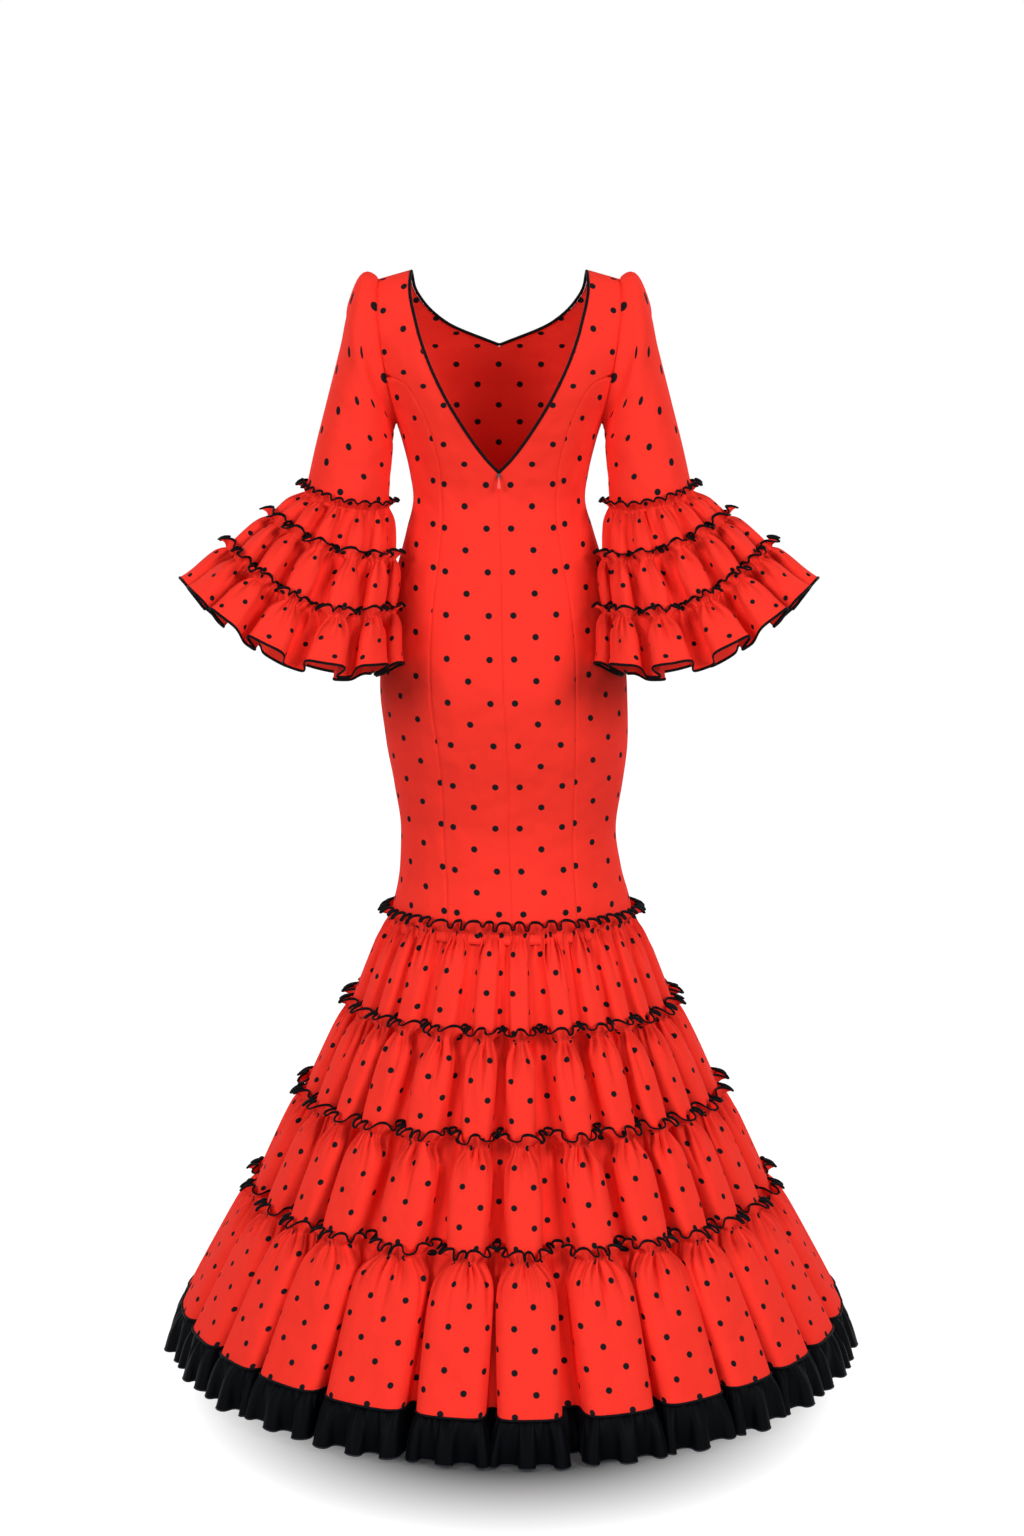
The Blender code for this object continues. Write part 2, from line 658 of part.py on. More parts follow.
# ---------------------------------------------------------------- trim and zip
def neck_path():
    """Middle line of the piping, from the tip of the V round the neck and back to it.

    It runs beside the cloth's edge, in the middle of the wall's thickness.
    """
    back = [height for height in ARM_ROWS + LOWER_ROWS if height > NECK_TIP + PIPING_STOP]
    front = [height for height in ARM_ROWS[1:] if height > FRONT_TIP]
    edge, normals = [], []
    for height in reversed(back):
        edge.append(body_point("back", height, back_inner_edge(height)))
        normals.append(body_normal("back", height, back_inner_edge(height)))
    for height in front:
        edge.append(body_point("front", height, front_inner_edge(height)))
        normals.append(body_normal("front", height, front_inner_edge(height)))
    mirror = Matrix.Diagonal((-1.0, 1.0, 1.0))
    lowest = body_point("front", FRONT_TIP, 0.0)
    edge = edge + [lowest] + [mirror @ point for point in reversed(edge)]
    normals = (normals + [body_normal("front", FRONT_TIP, 0.0)]
               + [mirror @ normal for normal in reversed(normals)])
    path = []
    for place, point in enumerate(edge):
        along = edge[min(place + 1, len(edge) - 1)] - edge[max(place - 1, 0)]
        open_side = normals[place].cross(along).normalized()
        into_neck = Vector((-point.x, 0.0, abs(point.x) / 3 + PIPING_RADIUS))
        if open_side.dot(into_neck) < 0.0:
            open_side.negate()
        middle = point - normals[place] * (CLOTH / 2)
        path.append(middle + open_side * (PIPING_RADIUS + PIPING_GAP))
    return path


def make_piping(finish):
    """A round cord of cloth swept along the neck edge."""
    path = neck_path()
    mesh = bmesh.new()
    rings = []
    for place, point in enumerate(path):
        along = (path[min(place + 1, len(path) - 1)] - path[max(place - 1, 0)]).normalized()
        side = along.cross(Vector((0.0, 1.0, 0.0))).normalized()
        lift = along.cross(side)
        ring = []
        for step in range(PIPING_SIDES):
            turn = 2 * pi * step / PIPING_SIDES
            ring.append(mesh.verts.new(point + (side * cos(turn) + lift * sin(turn))
                                       * PIPING_RADIUS))
        rings.append(ring)
    for one, other in zip(rings, rings[1:]):
        for step in range(PIPING_SIDES):
            after = (step + 1) % PIPING_SIDES
            mesh.faces.new((one[step], one[after], other[after], other[step]))
    mesh.faces.new(rings[0][::-1])
    mesh.faces.new(rings[-1])
    add_object("neck_piping", mesh, finish)


def block(mesh, size, middle):
    """A box of a size about a middle point."""
    place = Matrix.Translation(middle) @ Matrix.Diagonal((*size, 1.0))
    bmesh.ops.create_cube(mesh, size=1.0, matrix=place)


def rod(name, radius, length, middle):
    """A helper cylinder along X, joined or cut by a Boolean and left out of the model."""
    mesh = bmesh.new()
    place = Matrix.Translation(middle) @ Matrix.Rotation(pi / 2, 4, "Y")
    bmesh.ops.create_cone(mesh, cap_ends=True, segments=ROD_SIDES, radius1=radius,
                          radius2=radius, depth=length, matrix=place)
    return add_object(name, mesh, bpy.data.materials[0])


def boolean(target, helper, operation):
    """Join or cut with a helper object, which is then a guide and not a part."""
    helper.hide_render = True
    helper.display_type = "WIRE"
    step = target.modifiers.new(helper.name, "BOOLEAN")
    step.operation = operation
    step.object = helper
    step.solver = "EXACT"


def make_slider(seat, axis, finish):
    """The slider: a block with rounded corners and a bridge of two lugs and a pin."""
    mesh = bmesh.new()
    block(mesh, (SLIDER_WIDTH, SLIDER_DEPTH, SLIDER_LENGTH),
          (0.0, seat + SLIDER_DEPTH / 2, SLIDER_TOP - SLIDER_LENGTH / 2))
    corners = [edge for edge in mesh.edges
               if abs(edge.verts[0].co.y - edge.verts[1].co.y) > SLIDER_DEPTH / 2]
    bmesh.ops.bevel(mesh, geom=corners, offset=SLIDER_CORNER, segments=2, profile=0.5,
                    affect="EDGES")
    slider = add_object("zip_slider", mesh, finish)
    sunk = seat + SLIDER_DEPTH / 2
    proud = axis.y + LUG_PAST_PIN
    for side, label in ((1.0, "left"), (-1.0, "right")):
        lug = bmesh.new()
        block(lug, (LUG_WIDTH, proud - sunk, LUG_HEIGHT),
              (side * (BRIDGE_GAP + LUG_WIDTH) / 2, (proud + sunk) / 2, axis.z))
        boolean(slider, add_object("lug_" + label, lug, finish), "UNION")
    boolean(slider, rod("pin", PIN_RADIUS, BRIDGE_GAP + LUG_WIDTH, axis), "UNION")


def make_pull(axis, finish):
    """The pull tab, drawn about its pin, which is its object's origin."""
    radius = PULL_WIDTH / 2
    outline = [(NECK_WIDTH / 2, 0.0), (NECK_WIDTH / 2, -NECK_LENGTH)]
    for step in range(PULL_ARC_STEPS):
        turn = radians(PULL_SHOULDER - (90 + PULL_SHOULDER) * step / PULL_ARC_STEPS)
        outline.append((radius * cos(turn), radius * sin(turn) - PULL_LENGTH + radius))
    left = [(-x, z) for x, z in reversed(outline)]
    mesh = bmesh.new()
    corners = [mesh.verts.new((x, -PULL_THICKNESS / 2, z))
               for x, z in outline + [(0.0, -PULL_LENGTH)] + left]
    grown = bmesh.ops.extrude_face_region(mesh, geom=[mesh.faces.new(corners)])
    moved = [item for item in grown["geom"] if isinstance(item, bmesh.types.BMVert)]
    bmesh.ops.translate(mesh, verts=moved, vec=(0.0, PULL_THICKNESS, 0.0))
    pull = add_object("zip_pull", mesh, finish, location=axis)
    boolean(pull, rod("barrel", BARREL_RADIUS, BARREL_WIDTH, axis), "UNION")
    boolean(pull, rod("barrel_hole", BARREL_HOLE, BARREL_WIDTH * 2, axis), "DIFFERENCE")


def make_zip(slider_finish, pull_finish):
    """Slider with its bridge, and the pull tab that swings on the bridge's pin."""
    seat = body_point("back", SLIDER_TOP, 0.0).y + SEAM_GAP
    axis = Vector((0.0, seat + SLIDER_DEPTH + PIN_OFFSET, SLIDER_TOP - PIN_DROP))
    make_slider(seat, axis, slider_finish)
    make_pull(axis, pull_finish)


def main():
    for old in list(bpy.data.objects):
        bpy.data.objects.remove(old)
    red_cloth = material("red dotted crepe", (0.956, 0.043, 0.028), 0.72)
    black_cloth = material("black crepe", (0.008, 0.009, 0.012), 0.60)
    black_zinc = material("black lacquered zinc", (0.010, 0.010, 0.012), 0.35)
    red_zinc = material("red lacquered zinc", (0.75, 0.020, 0.015), 0.35)
    make_front(red_cloth)
    for side, label in ((1.0, "left"), (-1.0, "right")):
        make_back(side, label, red_cloth)
        make_side_back(side, label, red_cloth)
        make_sleeve(side, label, red_cloth)
    last_rows, last_normals = make_skirt(red_cloth)
    make_frill(last_rows, last_normals, black_cloth)
    make_piping(black_cloth)
    make_zip(black_zinc, red_zinc)


main()
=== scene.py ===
"""Flamenco dress: the cloth, trimmings and finishes around the fixed frame of its solids."""
from collections import namedtuple
from math import cos, pi, radians, sin

import bmesh
import bpy
import numpy as np
from bpy.props import FloatProperty, PointerProperty, StringProperty
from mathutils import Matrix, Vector


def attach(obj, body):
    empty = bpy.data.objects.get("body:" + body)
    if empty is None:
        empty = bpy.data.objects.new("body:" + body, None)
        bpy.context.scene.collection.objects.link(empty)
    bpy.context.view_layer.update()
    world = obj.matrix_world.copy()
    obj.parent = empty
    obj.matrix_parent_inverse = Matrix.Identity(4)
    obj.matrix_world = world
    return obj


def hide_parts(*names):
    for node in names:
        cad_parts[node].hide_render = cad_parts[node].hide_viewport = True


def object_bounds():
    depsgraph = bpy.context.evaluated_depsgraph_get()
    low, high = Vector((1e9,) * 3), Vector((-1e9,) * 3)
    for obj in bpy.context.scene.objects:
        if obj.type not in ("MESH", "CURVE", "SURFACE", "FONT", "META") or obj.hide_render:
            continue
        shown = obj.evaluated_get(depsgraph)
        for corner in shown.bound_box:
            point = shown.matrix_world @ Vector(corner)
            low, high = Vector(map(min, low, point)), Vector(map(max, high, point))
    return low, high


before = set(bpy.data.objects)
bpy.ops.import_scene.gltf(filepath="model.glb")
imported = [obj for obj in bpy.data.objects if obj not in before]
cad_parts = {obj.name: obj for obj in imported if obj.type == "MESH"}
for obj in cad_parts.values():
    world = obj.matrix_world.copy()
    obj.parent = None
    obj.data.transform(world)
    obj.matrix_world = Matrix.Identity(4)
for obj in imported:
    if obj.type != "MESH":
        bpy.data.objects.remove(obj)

bl_info = {
    "name": "Flamenco Dress",
    "version": (1, 0, 0),
    "blender": (4, 5, 0),
    "location": "3D View > Sidebar > Dress",
    "description": "Builds a flamenco dress with gathered tiers, flounced sleeves and bound edges",
    "category": "Add Mesh",
}

FRAME_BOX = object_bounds()
DRESS = "dress"
SIDES = ((1, "left"), (-1, "right"))       # the wearer's, as a sign and a name
UP = np.array([0, 0, 1.0])
LEVEL = np.array([1, 1, 0])                # leaves the level part of a direction

# ---------------- sizes shared with the solids
SHOULDER_DROP = 0.012
SHOULDER_FADE = 0.14
BUST_X = 0.070
BUST_Z = -0.172
BUST_SPREAD = 0.050
BUST_FULLNESS = 0.011
SEAM_GAP = -0.0003         # panels lap a little, so that no light shows through a seam
NECK_TIP = -0.2705
FRONT_TIP = -0.105
UNDERARM = -0.205
PRINCESS_TOP = -0.1365
BODY_HEM = -0.900

Section = namedtuple("Section", "height side back front shift")
BODY = tuple(Section(*row) for row in (
    (0.0000, 0.2120, 0.0000, 0.0000, 0.0000),
    (-0.0055, 0.2115, 0.0240, 0.0200, 0.0000),
    (-0.0200, 0.2100, 0.0440, 0.0380, 0.0000),
    (-0.0430, 0.2050, 0.0620, 0.0560, 0.0000),
    (-0.0730, 0.1970, 0.0780, 0.0770, 0.0000),
    (-0.1050, 0.1870, 0.0890, 0.0960, 0.0000),
    (-0.1365, 0.1740, 0.0960, 0.1100, 0.0000),
    (-0.1680, 0.1580, 0.0980, 0.1180, 0.0000),
    (-0.2050, 0.1396, 0.0940, 0.1180, 0.0000),
    (-0.2350, 0.1303, 0.0880, 0.1120, 0.0000),
    (-0.2700, 0.1221, 0.0810, 0.1030, 0.0000),
    (-0.3060, 0.1172, 0.0750, 0.0940, 0.0000),
    (-0.3500, 0.1275, 0.0800, 0.0930, -0.0010),
    (-0.4200, 0.1475, 0.0980, 0.0970, -0.0030),
    (-0.4900, 0.1625, 0.1160, 0.1000, -0.0045),
    (-0.5700, 0.1702, 0.1270, 0.0990, -0.0060),
    (-0.6400, 0.1668, 0.1200, 0.0950, -0.0105),
    (-0.7000, 0.1580, 0.1080, 0.0910, -0.0125),
    (-0.7650, 0.1491, 0.1000, 0.0890, -0.0125),
    (-0.8200, 0.1540, 0.1080, 0.0980, -0.0155),
    (-0.8600, 0.1630, 0.1240, 0.1120, -0.0175),
    (-0.9000, 0.1720, 0.1400, 0.1270, -0.0175),
))
Edge = namedtuple("Edge", "height distance")
BACK_NECK = tuple(Edge(*row) for row in (
    (0.000, 0.1205), (-0.020, 0.1220), (-0.073, 0.1120), (-0.115, 0.0985), (-0.163, 0.0765),
    (-0.210, 0.0485), (-0.250, 0.0195), (NECK_TIP, SEAM_GAP / 2)))
FRONT_NECK = tuple(Edge(*row) for row in (
    (0.000, 0.1205), (-0.020, 0.1180), (-0.043, 0.1060), (-0.073, 0.0740), (FRONT_TIP, 0.0)))
ARMHOLE = tuple(Edge(*row) for row in (
    (0.0000, 0.1630), (-0.0200, 0.1640), (-0.0430, 0.1640), (-0.0730, 0.1615),
    (-0.1050, 0.1580), (-0.1365, 0.1527), (-0.1680, 0.1465), (-0.1870, 0.1425),
    (-0.2003, 0.1405), (UNDERARM, 0.1396)))
PRINCESS = tuple(Edge(*row) for row in (
    (PRINCESS_TOP, 0.1518), (-0.150, 0.1262), (-0.177, 0.1077), (-0.228, 0.0879),
    (-0.274, 0.0787), (-0.320, 0.0775), (-0.379, 0.0831), (-0.443, 0.0927),
    (-0.522, 0.0985), (-0.578, 0.0975), (-0.642, 0.0930), (-0.719, 0.0890),
    (-0.820, 0.0880), (BODY_HEM, 0.0900)))

SKIRT_CRESTS = (-82, -66, -53.5, -42, -25, -9.3, 2.5, 18, 32, 44, 55.5, 68, 83,
                100, 118, 135, 153, 171, 189, 207, 225, 243, 260)
Seam = namedtuple("Seam", "height radius depth")
SKIRT_SEAMS = (Seam(-0.888, 0.170, 0.000), Seam(-1.015, 0.228, 0.021),
               Seam(-1.142, 0.295, 0.029), Seam(-1.278, 0.368, 0.036),
               Seam(-1.438, 0.466, 0.044))
BACK_DIP = 0.017
BACK_DIP_TURN = 6
SKIRT_SHIFT = -0.0175
SKIRT_BACK = 0.97
SKIRT_FRONT = 0.95

SleeveRing = namedtuple("SleeveRing", "outer_x outer_z inner_x inner_z middle_y half_y own bow")
SLEEVE_RINGS = tuple(SleeveRing(*row) for row in (
    (0.1790, -0.0060, 0.1404, -0.2085, 0.001, 0.056, 0.50, 0.0150),
    (0.1995, -0.0420, 0.1410, -0.2140, 0.003, 0.056, 1.00, 0.0100),
    (0.2145, -0.1020, 0.1422, -0.2260, 0.006, 0.055, 1.00, 0.0040),
    (0.2325, -0.1720, 0.1445, -0.2460, 0.012, 0.054, 1.00, 0.0000),
    (0.2490, -0.2360, 0.1475, -0.2800, 0.017, 0.054, 1.00, 0.0000),
    (0.2625, -0.2964, 0.1504, -0.3180, 0.022, 0.054, 1.00, 0.0000)))
FlounceRing = namedtuple(
    "FlounceRing", "outer_x outer_z inner_x inner_z middle_y half_y sag rise skew depth")
FLOUNCE_RINGS = tuple(FlounceRing(*row) for row in (
    (0.2625, -0.2964, 0.1504, -0.3180, 0.022, 0.054, 0.008, 0.000, 0.000, 0.000),
    (0.3123, -0.3335, 0.1400, -0.3904, 0.036, 0.078, 0.018, 0.005, 0.020, 0.012),
    (0.3687, -0.3759, 0.1400, -0.4600, 0.048, 0.102, 0.041, 0.013, 0.040, 0.018),
    (0.4285, -0.4269, 0.1330, -0.5331, 0.060, 0.125, 0.050, 0.022, 0.050, 0.026)))
SLEEVE_CRESTS = (8, 32, 54, 79, 111, 143, 178, 217, 258, 310)
SLEEVE_CLEARANCE = 0.018
SLEEVE_TURN = 0.010

# ---------------- sizes of the fine cloth
SEAM_DIP = 0.0011          # how deep a seam sinks into the cloth
SEAM_REACH = 0.0017        # and how far from the seam
ARMHOLE_LAP = 0.0015       # how far a sleeve head reaches in under the edge of the armhole
SKIRT_COUNT = 4
SKIRT_ROWS = 19            # rows of a tier below its gathers
FLOUNCE_COUNT = 3
FLOUNCE_ROWS = 17
FLOUNCE_COLUMNS = 11       # columns in a wave of its heading
FLOUNCE_RISE = 0.017       # height of a sleeve heading above its gathers
HEADING_ROWS = 8
MEASURED_ROW = 12          # row below the gathers that gives the cloth's length around
# How wide the valley before each crest opens: 0 is hidden by its neighbours, 1 a broad strip.
SKIRT_STRIPS = (0.05, 0.0, 0.05, 0.0, 0.0, 0.15, 0.25, 0.55, 0.1, 0.05, 0.1, 0.0, 0.1,
                0.3, 0.1, 0.4, 0.1, 0.4, 0.1, 0.4, 0.1, 0.3, 0.1)
SLEEVE_STRIPS = (0.2, 0.1, 0.2, 0.3, 0.5, 0.3, 0.3, 0.2, 0.4, 0.3)
HEM_STRIPS = 0.5           # how far the strips stay open at the hem of the skirt

# A soft fold, from a place on the cloth to another: metres across, from the
# middle of the back or the top of the sleeve, and down from the cloth's upper edge. Then the
# depth and half width of its trough.
Fold = namedtuple("Fold", "across down to_across to_down depth width")


# ---------------- properties
class DressCloth(bpy.types.PropertyGroup):
    """Cloth of the dress and its print."""
    red: StringProperty(name="Red", description="Ground colour of the crepe",
                        default="F7372B")
    dot: StringProperty(name="Dots", description="Colour of the printed dots",
                        default="17171A")
    panel_dot: FloatProperty(name="Panel dots", description="Width of a dot on the panels",
                             default=0.0088, unit="LENGTH")
    tier_dot: FloatProperty(name="Tier dots", description="Width of a dot on the skirt tiers",
                            default=0.0082, unit="LENGTH")
    flounce_dot: FloatProperty(name="Flounce dots", description="Width of a sleeve flounce dot",
                               default=0.0070, unit="LENGTH")
    pitch: FloatProperty(name="Pitch", description="Space between dots in a row",
                         default=0.059, unit="LENGTH")
    tier_pitch: FloatProperty(name="Tier pitch", description="Space between dots on a tier",
                              default=0.053, unit="LENGTH")
    flounce_pitch: FloatProperty(name="Flounce pitch", default=0.048, unit="LENGTH",
                                 description="Space between dots on a sleeve flounce")
    thickness: FloatProperty(name="Thickness", description="Thickness of the crepe",
                             default=0.0005, unit="LENGTH")


class DressRuffles(bpy.types.PropertyGroup):
    """Gathers, headings and frill."""
    scallop: FloatProperty(name="Scallop", description="Length of one wave of a skirt heading",
                           default=0.030, unit="LENGTH")
    rise: FloatProperty(name="Rise", description="Height of a skirt heading above its gathers",
                        default=0.0190, unit="LENGTH")
    lean: FloatProperty(name="Lean", description="How far its standing waves lean out",
                        default=radians(9), subtype="ANGLE")
    fall: FloatProperty(name="Fall", description="How far its other waves lie from upright",
                        default=radians(56), subtype="ANGLE")
    sleeve_scallop: FloatProperty(name="Sleeve scallop", description="Wave of a sleeve heading",
                                  default=0.023, unit="LENGTH")
    frill_wave: FloatProperty(name="Frill wave", description="Length of one wave of the frill",
                              default=0.044, unit="LENGTH")


class DressTrim(bpy.types.PropertyGroup):
    """Bindings, piping and cords."""
    black: StringProperty(name="Black", description="Colour of the bindings", default="101114")
    frill: StringProperty(name="Frill", description="Colour of the hem frill", default="020306")
    binding: FloatProperty(name="Binding", description="Width of the binding on an edge",
                           default=0.0041, unit="LENGTH")
    cord: FloatProperty(name="Cord", description="Width of the cord above the frill",
                        default=0.0036, unit="LENGTH")
    piping: FloatProperty(name="Piping", description="Width of the piping round the neck",
                          default=0.0042, unit="LENGTH")


class DressStage(bpy.types.PropertyGroup):
    """Floor, lights and camera."""
    floor: StringProperty(name="Floor", description="Colour of the floor", default="525252")
    key: FloatProperty(name="Key", description="Power of each light on the back", default=236.0,
                       unit="POWER")
    fill: FloatProperty(name="Fill", description="Power of each light on the front", default=140.0,
                        unit="POWER")
    sky: FloatProperty(name="Sky", description="Strength of the light all round", default=0.20)


# ---------------- curves and surfaces
def smooth_between(values, slopes, step, span, part):
    """Values on a smooth curve, at a part of the span from one knot to the next."""
    return (values[step] * (1 + 2 * part) * (1 - part) ** 2
            + slopes[step] * span * part * (1 - part) ** 2
            + values[step + 1] * part * part * (3 - 2 * part)
            + slopes[step + 1] * span * part * part * (part - 1))


def read(table, name, heights):
    """Read a named column at heights, on a smooth curve through the table's rows."""
    knots = -np.array([row.height for row in table])
    values = np.array([getattr(row, name) for row in table])
    places = np.clip(-np.asarray(heights, float), knots[0], knots[-1])
    slopes = np.diff(values) / np.diff(knots)
    tangents = np.empty_like(values)
    tangents[0], tangents[-1] = slopes[0], slopes[-1]
    product = slopes[:-1] * slopes[1:]
    total = np.where(product > 0, slopes[:-1] + slopes[1:], 1.0)
    tangents[1:-1] = np.where(product > 0, 2 * product / total, 0.0)
    step = np.clip(np.searchsorted(knots, places, side="right") - 1, 0, len(knots) - 2)
    span = knots[step + 1] - knots[step]
    return smooth_between(values, tangents, step, span, (places - knots[step]) / span)


def body_points(back, heights, turns):
    """Points on the outside of the fitted part; turns run from the middle of each face."""
    back, heights, turns = np.broadcast_arrays(back, heights, turns)
    across = read(BODY, "side", heights) * np.sin(turns)
    depth = np.where(back, read(BODY, "back", heights), read(BODY, "front", heights))
    out = depth * np.cos(turns)
    off_point = ((np.abs(across) - BUST_X) ** 2 + (heights - BUST_Z) ** 2) / BUST_SPREAD ** 2
    bust = BUST_FULLNESS * np.exp(-off_point) * np.clip(np.cos(turns), 0, 1)
    out = out + np.where(back, 0.0, bust)
    neck, arm = BACK_NECK[0].distance, ARMHOLE[0].distance
    down_strap = np.clip((np.abs(across) - neck) / (arm - neck), 0, 1)
    drop = SHOULDER_DROP * down_strap * np.clip(1 + heights / SHOULDER_FADE, 0, None)
    sign = np.where(back, 1.0, -1.0)
    return np.stack([across + read(BODY, "shift", heights), sign * out, heights - drop], -1)


def body_turn(heights, distance):
    """Turn from the middle of a face at which the fitted part is a distance to the side."""
    return np.arcsin(np.clip(distance / read(BODY, "side", heights), 0, 1))


def unit(vectors):
    """Vectors brought to length 1."""
    length = np.linalg.norm(vectors, axis=-1, keepdims=True)
    return vectors / np.maximum(length, 1e-9)


def pointing(directions, guide):
    """Directions, all of them turned round if they point against a guide."""
    return -directions if np.sum(directions * guide) < 0 else directions


def along_ring(ring):
    """Directions along a closed ring of points."""
    return unit(np.roll(ring, -1, 0) - np.roll(ring, 1, 0))


def lengths_along(line):
    """Distance of each point from the first, along the line."""
    steps = np.linalg.norm(np.diff(line, axis=0), axis=-1)
    return np.concatenate([[0.0], np.cumsum(steps)])


def lengths_round(ring):
    """Distance of each point from the first, round a closed ring and back to the first."""
    return lengths_along(np.concatenate([ring, ring[:1]]))


def surface_normals(points, closed):
    """Directions at right angles to a grid of points."""
    if closed:
        across = np.roll(points, -1, 1) - np.roll(points, 1, 1)
    else:
        across = np.gradient(points, axis=1)
    down = np.gradient(points, axis=0)
    return unit(np.cross(down, across))


def fold_depth(across, down, folds):
    """Depth of the listed soft folds at places on the flat cloth."""
    depth = np.zeros(np.broadcast(across, down).shape)
    for fold in folds:
        line_x, line_y = fold.to_across - fold.across, fold.to_down - fold.down
        square = line_x ** 2 + line_y ** 2
        part = ((across - fold.across) * line_x + (down - fold.down) * line_y) / square
        part = np.clip(part, 0, 1)
        off = np.hypot(across - fold.across - part * line_x, down - fold.down - part * line_y)
        depth += fold.depth * np.exp(-(off / fold.width) ** 2) * np.sin(pi * part) ** 0.7
    return depth


def slow_noise(count, waves, seed):
    """A smooth closed line of values between about -1 and 1."""
    chance = np.random.default_rng(seed)
    place = np.arange(count) / count * 2 * pi
    total = np.zeros(count)
    for wave in waves:
        total += chance.uniform(0.5, 1.0) * np.sin(wave * place + chance.uniform(0, 2 * pi))
    return total / len(waves)


# ---------------- pieces
def mesh_data(name, mesh):
    """Mesh data made from a bmesh, which is freed."""
    data = bpy.data.meshes.new(name)
    mesh.to_mesh(data)
    mesh.free()
    return data


def cloth_piece(name, points, flat, material, outward, closed=False, thickness=0.0):
    """A piece of cloth from a grid of points, with its flat coordinates as UVs in metres."""
    if closed:
        points = np.concatenate([points, points[:, :1]], 1)
        outward = np.concatenate([outward, outward[:, :1]], 1)
        if flat.shape[1] < points.shape[1]:
            pitch = flat[:, -1:] - flat[:, -2:-1]
            flat = np.concatenate([flat, flat[:, -1:] + pitch], 1)
    rows, columns = points.shape[:2]
    mesh = bmesh.new()
    bmesh.ops.create_grid(mesh, x_segments=columns - 1, y_segments=rows - 1, size=1.0)
    data = mesh_data(name, mesh)
    data.vertices.foreach_set("co", points.reshape(-1).astype(np.float32))
    corners = np.empty(len(data.loops), np.int32)
    data.loops.foreach_get("vertex_index", corners)
    layer = data.uv_layers.new(name="Cloth")
    layer.data.foreach_set("uv", flat.reshape(-1, 2)[corners].reshape(-1).astype(np.float32))
    facing = np.cross(points[:-1, 1:] - points[:-1, :-1], points[1:, :-1] - points[:-1, :-1])
    if np.sum(facing * outward[:-1, :-1]) < 0:
        data.flip_normals()
    if closed:
        mesh = bmesh.new()
        mesh.from_mesh(data)
        mesh.verts.ensure_lookup_table()
        ends = [mesh.verts[row * columns + side] for row in range(rows)
                for side in (0, columns - 1)]
        bmesh.ops.remove_doubles(mesh, verts=ends, dist=1e-6)
        mesh.to_mesh(data)
        mesh.free()
    data.shade_smooth()
    return add_piece(name, data, material, thickness)


def add_piece(name, data, material, thickness=0.0):
    """Link a mesh as a piece, with a cloth's thickness on its inner side."""
    piece = bpy.data.objects.new(name, data)
    bpy.context.scene.collection.objects.link(piece)
    data.materials.append(material)
    if thickness:
        wall = piece.modifiers.new("Cloth thickness", "SOLIDIFY")
        wall.thickness = thickness
        wall.offset = -1.0
    return piece


def wear(piece, slot, *nodes):
    """The piece rides with the dress and stands for nodes, whose solids are hidden; slot is not
    used.
    """
    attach(piece, DRESS)
    if nodes:
        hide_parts(*nodes)


def tube(name, path, wide, deep, width, depth, material, sides=6, closed=True):
    """A rounded strip round a path: wide and deep are its cross-section's two directions."""
    turns = np.arange(sides) / sides * 2 * pi
    ring = (path[:, None] + wide[:, None] * (np.cos(turns)[None, :, None] * width / 2)
            + deep[:, None] * (np.sin(turns)[None, :, None] * depth / 2))
    if closed:
        ring = np.concatenate([ring, ring[:1]], 0)
        path = np.concatenate([path, path[:1]], 0)
    run = lengths_along(path)
    girth = (width + depth) / 2 * pi
    flat = np.stack(np.broadcast_arrays((turns / (2 * pi) * girth)[None], run[:, None]), -1)
    outward = ring - path[:, None]
    piece = cloth_piece(name, ring, flat, material, outward, closed=True)
    mesh = bmesh.new()
    mesh.from_mesh(piece.data)
    if closed:
        bmesh.ops.remove_doubles(mesh, verts=mesh.verts, dist=1e-7)
    else:
        bmesh.ops.holes_fill(mesh, edges=[edge for edge in mesh.edges if edge.is_boundary],
                             sides=sides)
    mesh.to_mesh(piece.data)
    mesh.free()
    piece.data.shade_smooth()
    return piece


BINDING_LAP = 0.35         # share of its width by which a binding's middle lies inwards
BINDING_DEPTH = 0.62       # thickness of a binding over its width


def edge_binding(name, edge, inner, width, material, slot="black_binding"):
    """Bias binding folded over a waving edge; inner is the next line of points inwards."""
    wide = unit(edge - inner)
    deep = unit(np.cross(wide, along_ring(edge)))
    path = edge - wide * width * BINDING_LAP
    wear(tube(name, path, wide, deep, width, width * BINDING_DEPTH, material), slot)


# ---------------- materials
def linear(hex_colour):
    """An sRGB hex value as a linear colour."""
    channels = [int(hex_colour[place:place + 2], 16) / 255 for place in (0, 2, 4)]
    turned = [value / 12.92 if value <= 0.04045 else ((value + 0.055) / 1.055) ** 2.4
              for value in channels]
    return (*turned, 1.0)


def node(tree, kind, inputs=(), **settings):
    """Add a node with its settings; each of its inputs is given a link or a value."""
    added = tree.nodes.new(kind)
    for name, value in settings.items():
        setattr(added, name, value)
    for place, value in dict(inputs).items():
        if isinstance(value, bpy.types.NodeSocket):
            tree.links.new(value, added.inputs[place])
        else:
            added.inputs[place].default_value = value
    return added


def new_material(name, **shader_values):
    """A material with a Principled shader; constant values are set on the shader itself."""
    made = bpy.data.materials.new(name)
    made.use_nodes = True
    shader = made.node_tree.nodes["Principled BSDF"]
    for place, value in shader_values.items():
        shader.inputs[place.replace("_", " ")].default_value = value
    return made, made.node_tree, shader


DOT_EDGE = 0.0003          # half width of a dot's soft edge
GATHER_REACH = 0.060       # how far the finest gathers run down the cloth
GATHER_SCALE = 55.0        # a groove every 10 mm or so
GATHER_WIDTH = 0.11        # how much of the noise about its middle makes a groove


